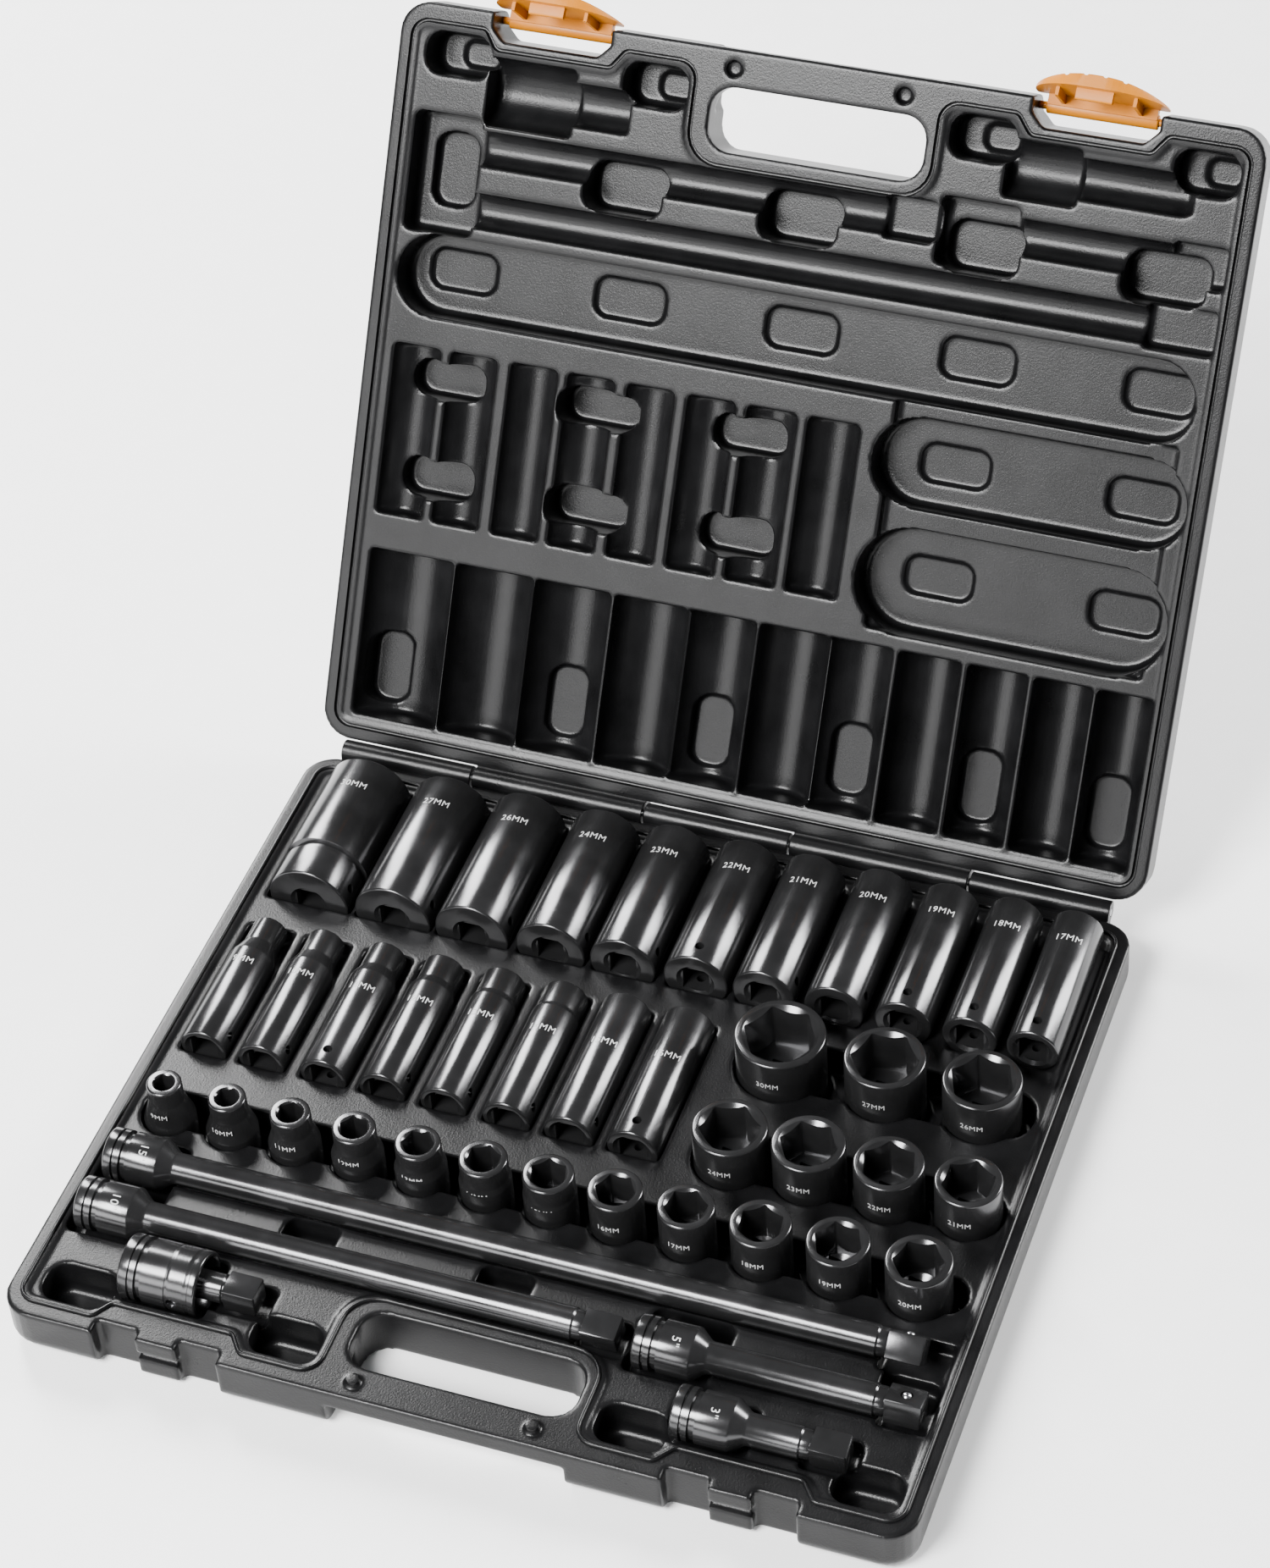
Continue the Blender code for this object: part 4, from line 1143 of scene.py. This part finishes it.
def knurl(piece, z0, z1, outer):
    select_only(piece)
    bpy.ops.object.mode_set(mode="EDIT")
    mesh = bmesh.from_edit_mesh(piece.data)
    bpy.ops.mesh.select_mode(type="VERT")
    bpy.ops.mesh.select_all(action="DESELECT")
    for vert in mesh.verts:
        z = vert.co.z / MM
        if z0 < z < z1 and vert.co.xy.length > (outer - 0.2) * MM:
            spoke = round(math.atan2(vert.co.y, vert.co.x) / (2 * math.pi) * KNURL_SIDES)
            vert.select_set((spoke + round((z - z0) / KNURL_PITCH)) % 2 == 0)
    bmesh.update_edit_mesh(piece.data)
    bpy.ops.transform.shrink_fatten(value=-KNURL_DEPTH * MM)
    bpy.ops.object.mode_set(mode="OBJECT")


print("knurl:", KNURL_SIDES // 2, "diamonds round")

# %% Universal joint
PIVOT = 26.0                               # cross pin, from the end with the square hole
CUP_R, BALL_R = 10.2, 9.6
CUP_HOLE_R, BALL_HOLE_R, CROSS_PIN_R = 2.6, 2.5, 2.15


def housing():
    """The cup: two grooves, the knurled band, the square hole and the bowl."""
    outer, length = 14.8, JOINT["end"] - JOINT["x"]
    waist = outer - 0.35
    rings = rounded_end(0, outer, 1.0, False)
    rings += [(4.6, outer), (4.9, 13.9), (5.7, 13.9), (6.0, outer), (8.0, outer),
              (8.4, 13.4), (10.6, 13.4), (11.0, outer), (22.4, outer), (22.7, waist),
              (23.3, waist)]
    rings += [(23.6 + KNURL_PITCH * k, outer) for k in range(11)]
    rings += [(31.9, waist), (33.4, waist), (33.8, outer)]
    rings += rounded_end(length, outer, 1.0, True)
    piece = turned(rings, KNURL_SIDES, "universal_cup")
    knurl(piece, 23.5, 31.7, outer)
    square_hole(piece, 16.5)
    arc = [math.radians(a) for a in range(-75, 1, 15)]
    bowl = [(PIVOT + CUP_R * math.sin(a), CUP_R * math.cos(a)) for a in arc]
    bowl += [(PIVOT + 3, CUP_R), (length, 13.0), (length + 1, 13.2)]
    combine(piece, turned(bowl, 64))
    cross_hole(piece, CUP_HOLE_R, PIVOT, sides=32)
    return piece


def drive_piece():
    """The ball, its short neck and the square end, drilled for the pin."""
    tip = tool_box("universal_drive")[1].x - JOINT["x"]
    arc = [math.radians(a) for a in range(-75, 46, 10)]
    rings = [(PIVOT + BALL_R * math.sin(a), BALL_R * math.cos(a)) for a in arc]
    rings += [(PIVOT + 8.2, NECK_R), (tip - 16.5, NECK_R), (tip - 15.8, 6.0),
              (tip - 14, 6.0)]
    piece = turned(rings, 64, "universal_ball_end")
    combine(piece, square_end(tip - 15, tip), "UNION")
    cross_hole(piece, BALL_HOLE_R, PIVOT, sides=32)
    return piece


def cross_pin():
    """The pin through both, its ends eased."""
    low, high = tool_box("universal_pin")
    half = (high.y - low.y) / 2
    eased = CROSS_PIN_R - 0.45
    rings = [(-half, eased), (0.4 - half, CROSS_PIN_R), (half - 0.4, CROSS_PIN_R),
             (half, eased)]
    return lay_across(turned(rings, 32, "universal_cross_pin"), PIVOT)


for piece, body, node_name, steel, slot in (
        (housing(), "universal_joint", "universal_housing", BLACK_STEEL, "black_steel"),
        (drive_piece(), "universal_drive", "universal_drive", BLACK_STEEL, "black_steel"),
        (cross_pin(), "universal_joint", "universal_pin", BRIGHT_STEEL, "bright_steel")):
    finish_steel(piece, steel)
    lay_along_x(piece, JOINT, 0)
    dress(piece, steel, body, slot, node_name)
    print(piece.name, len(piece.data.polygons), "faces")

# %% [markdown]
# ## Camera
#
# A long lens, held high in front of the case and a little to its right, looks down into
# the tray. It leans slightly, as a camera held by hand does.

# %% Camera
LENS_MM, SENSOR_MM = 94.04, 36
CAMERA_AT = (0.50384, -1.10574, 1.42385)   # metres
CAMERA_TURN = (45.371, 3.285, 19.630)      # degrees

view = bpy.data.cameras.new("view")
view.lens = LENS_MM
view.sensor_width = SENSOR_MM
camera = bpy.data.objects.new("camera", view)
camera.location = CAMERA_AT
camera.rotation_euler = [math.radians(a) for a in CAMERA_TURN]
bpy.context.scene.collection.objects.link(camera)
bpy.context.scene.camera = camera
print("camera at", tuple(round(c, 3) for c in camera.location))

# %% [markdown]
# ## Floor and lights
#
# Black tools on black plastic are seen by their highlights. Two tall softboxes stand
# behind the case on either side and draw a bright line along every bar and socket, a
# third in front fills the tray, and a low wide card lights the inside of the lid.

# %% Floor and lights
clear_selection()
bpy.ops.mesh.primitive_plane_add(size=8, location=(0, 0, -0.0005))
floor = start_piece("floor")
paper = finish("pale_floor", (0.86, 0.86, 0.86), (0.88, 0.88, 0.88), 0.0, (0.7, 0.8), 3, 0.02)
floor.data.materials.append(paper)

world = bpy.data.worlds.new("studio")
world.use_nodes = True
world.node_tree.nodes["Background"].inputs["Color"].default_value = (0.9, 0.92, 0.95, 1)
world.node_tree.nodes["Background"].inputs["Strength"].default_value = 0.15
bpy.context.scene.world = world


def softbox(name, spot, target, width, height, power):
    light = bpy.data.lights.new(name, "AREA")
    light.shape = "RECTANGLE"
    light.size, light.size_y, light.energy = width, height, power
    lamp = bpy.data.objects.new(name, light)
    lamp.location = spot
    lamp.rotation_euler = (Vector(target) - Vector(spot)).to_track_quat("-Z", "Y").to_euler()
    bpy.context.scene.collection.objects.link(lamp)


TRAY, LID_INSIDE = (0, 0, 0.03), (0, 0.28, 0.2)
softbox("left strip", (-1.3, 1.25, 1.3), TRAY, 0.5, 1.3, 100)
softbox("right strip", (1.55, 1.3, 0.9), TRAY, 0.55, 1.3, 100)
softbox("front", (-0.65, -1.4, 1.85), (0, -0.05, 0.03), 0.9, 0.9, 190)
softbox("card", (-0.9, -2.2, 0.72), LID_INSIDE, 2.2, 0.7, 52)
print("floor and", len(bpy.data.lights), "lights set")
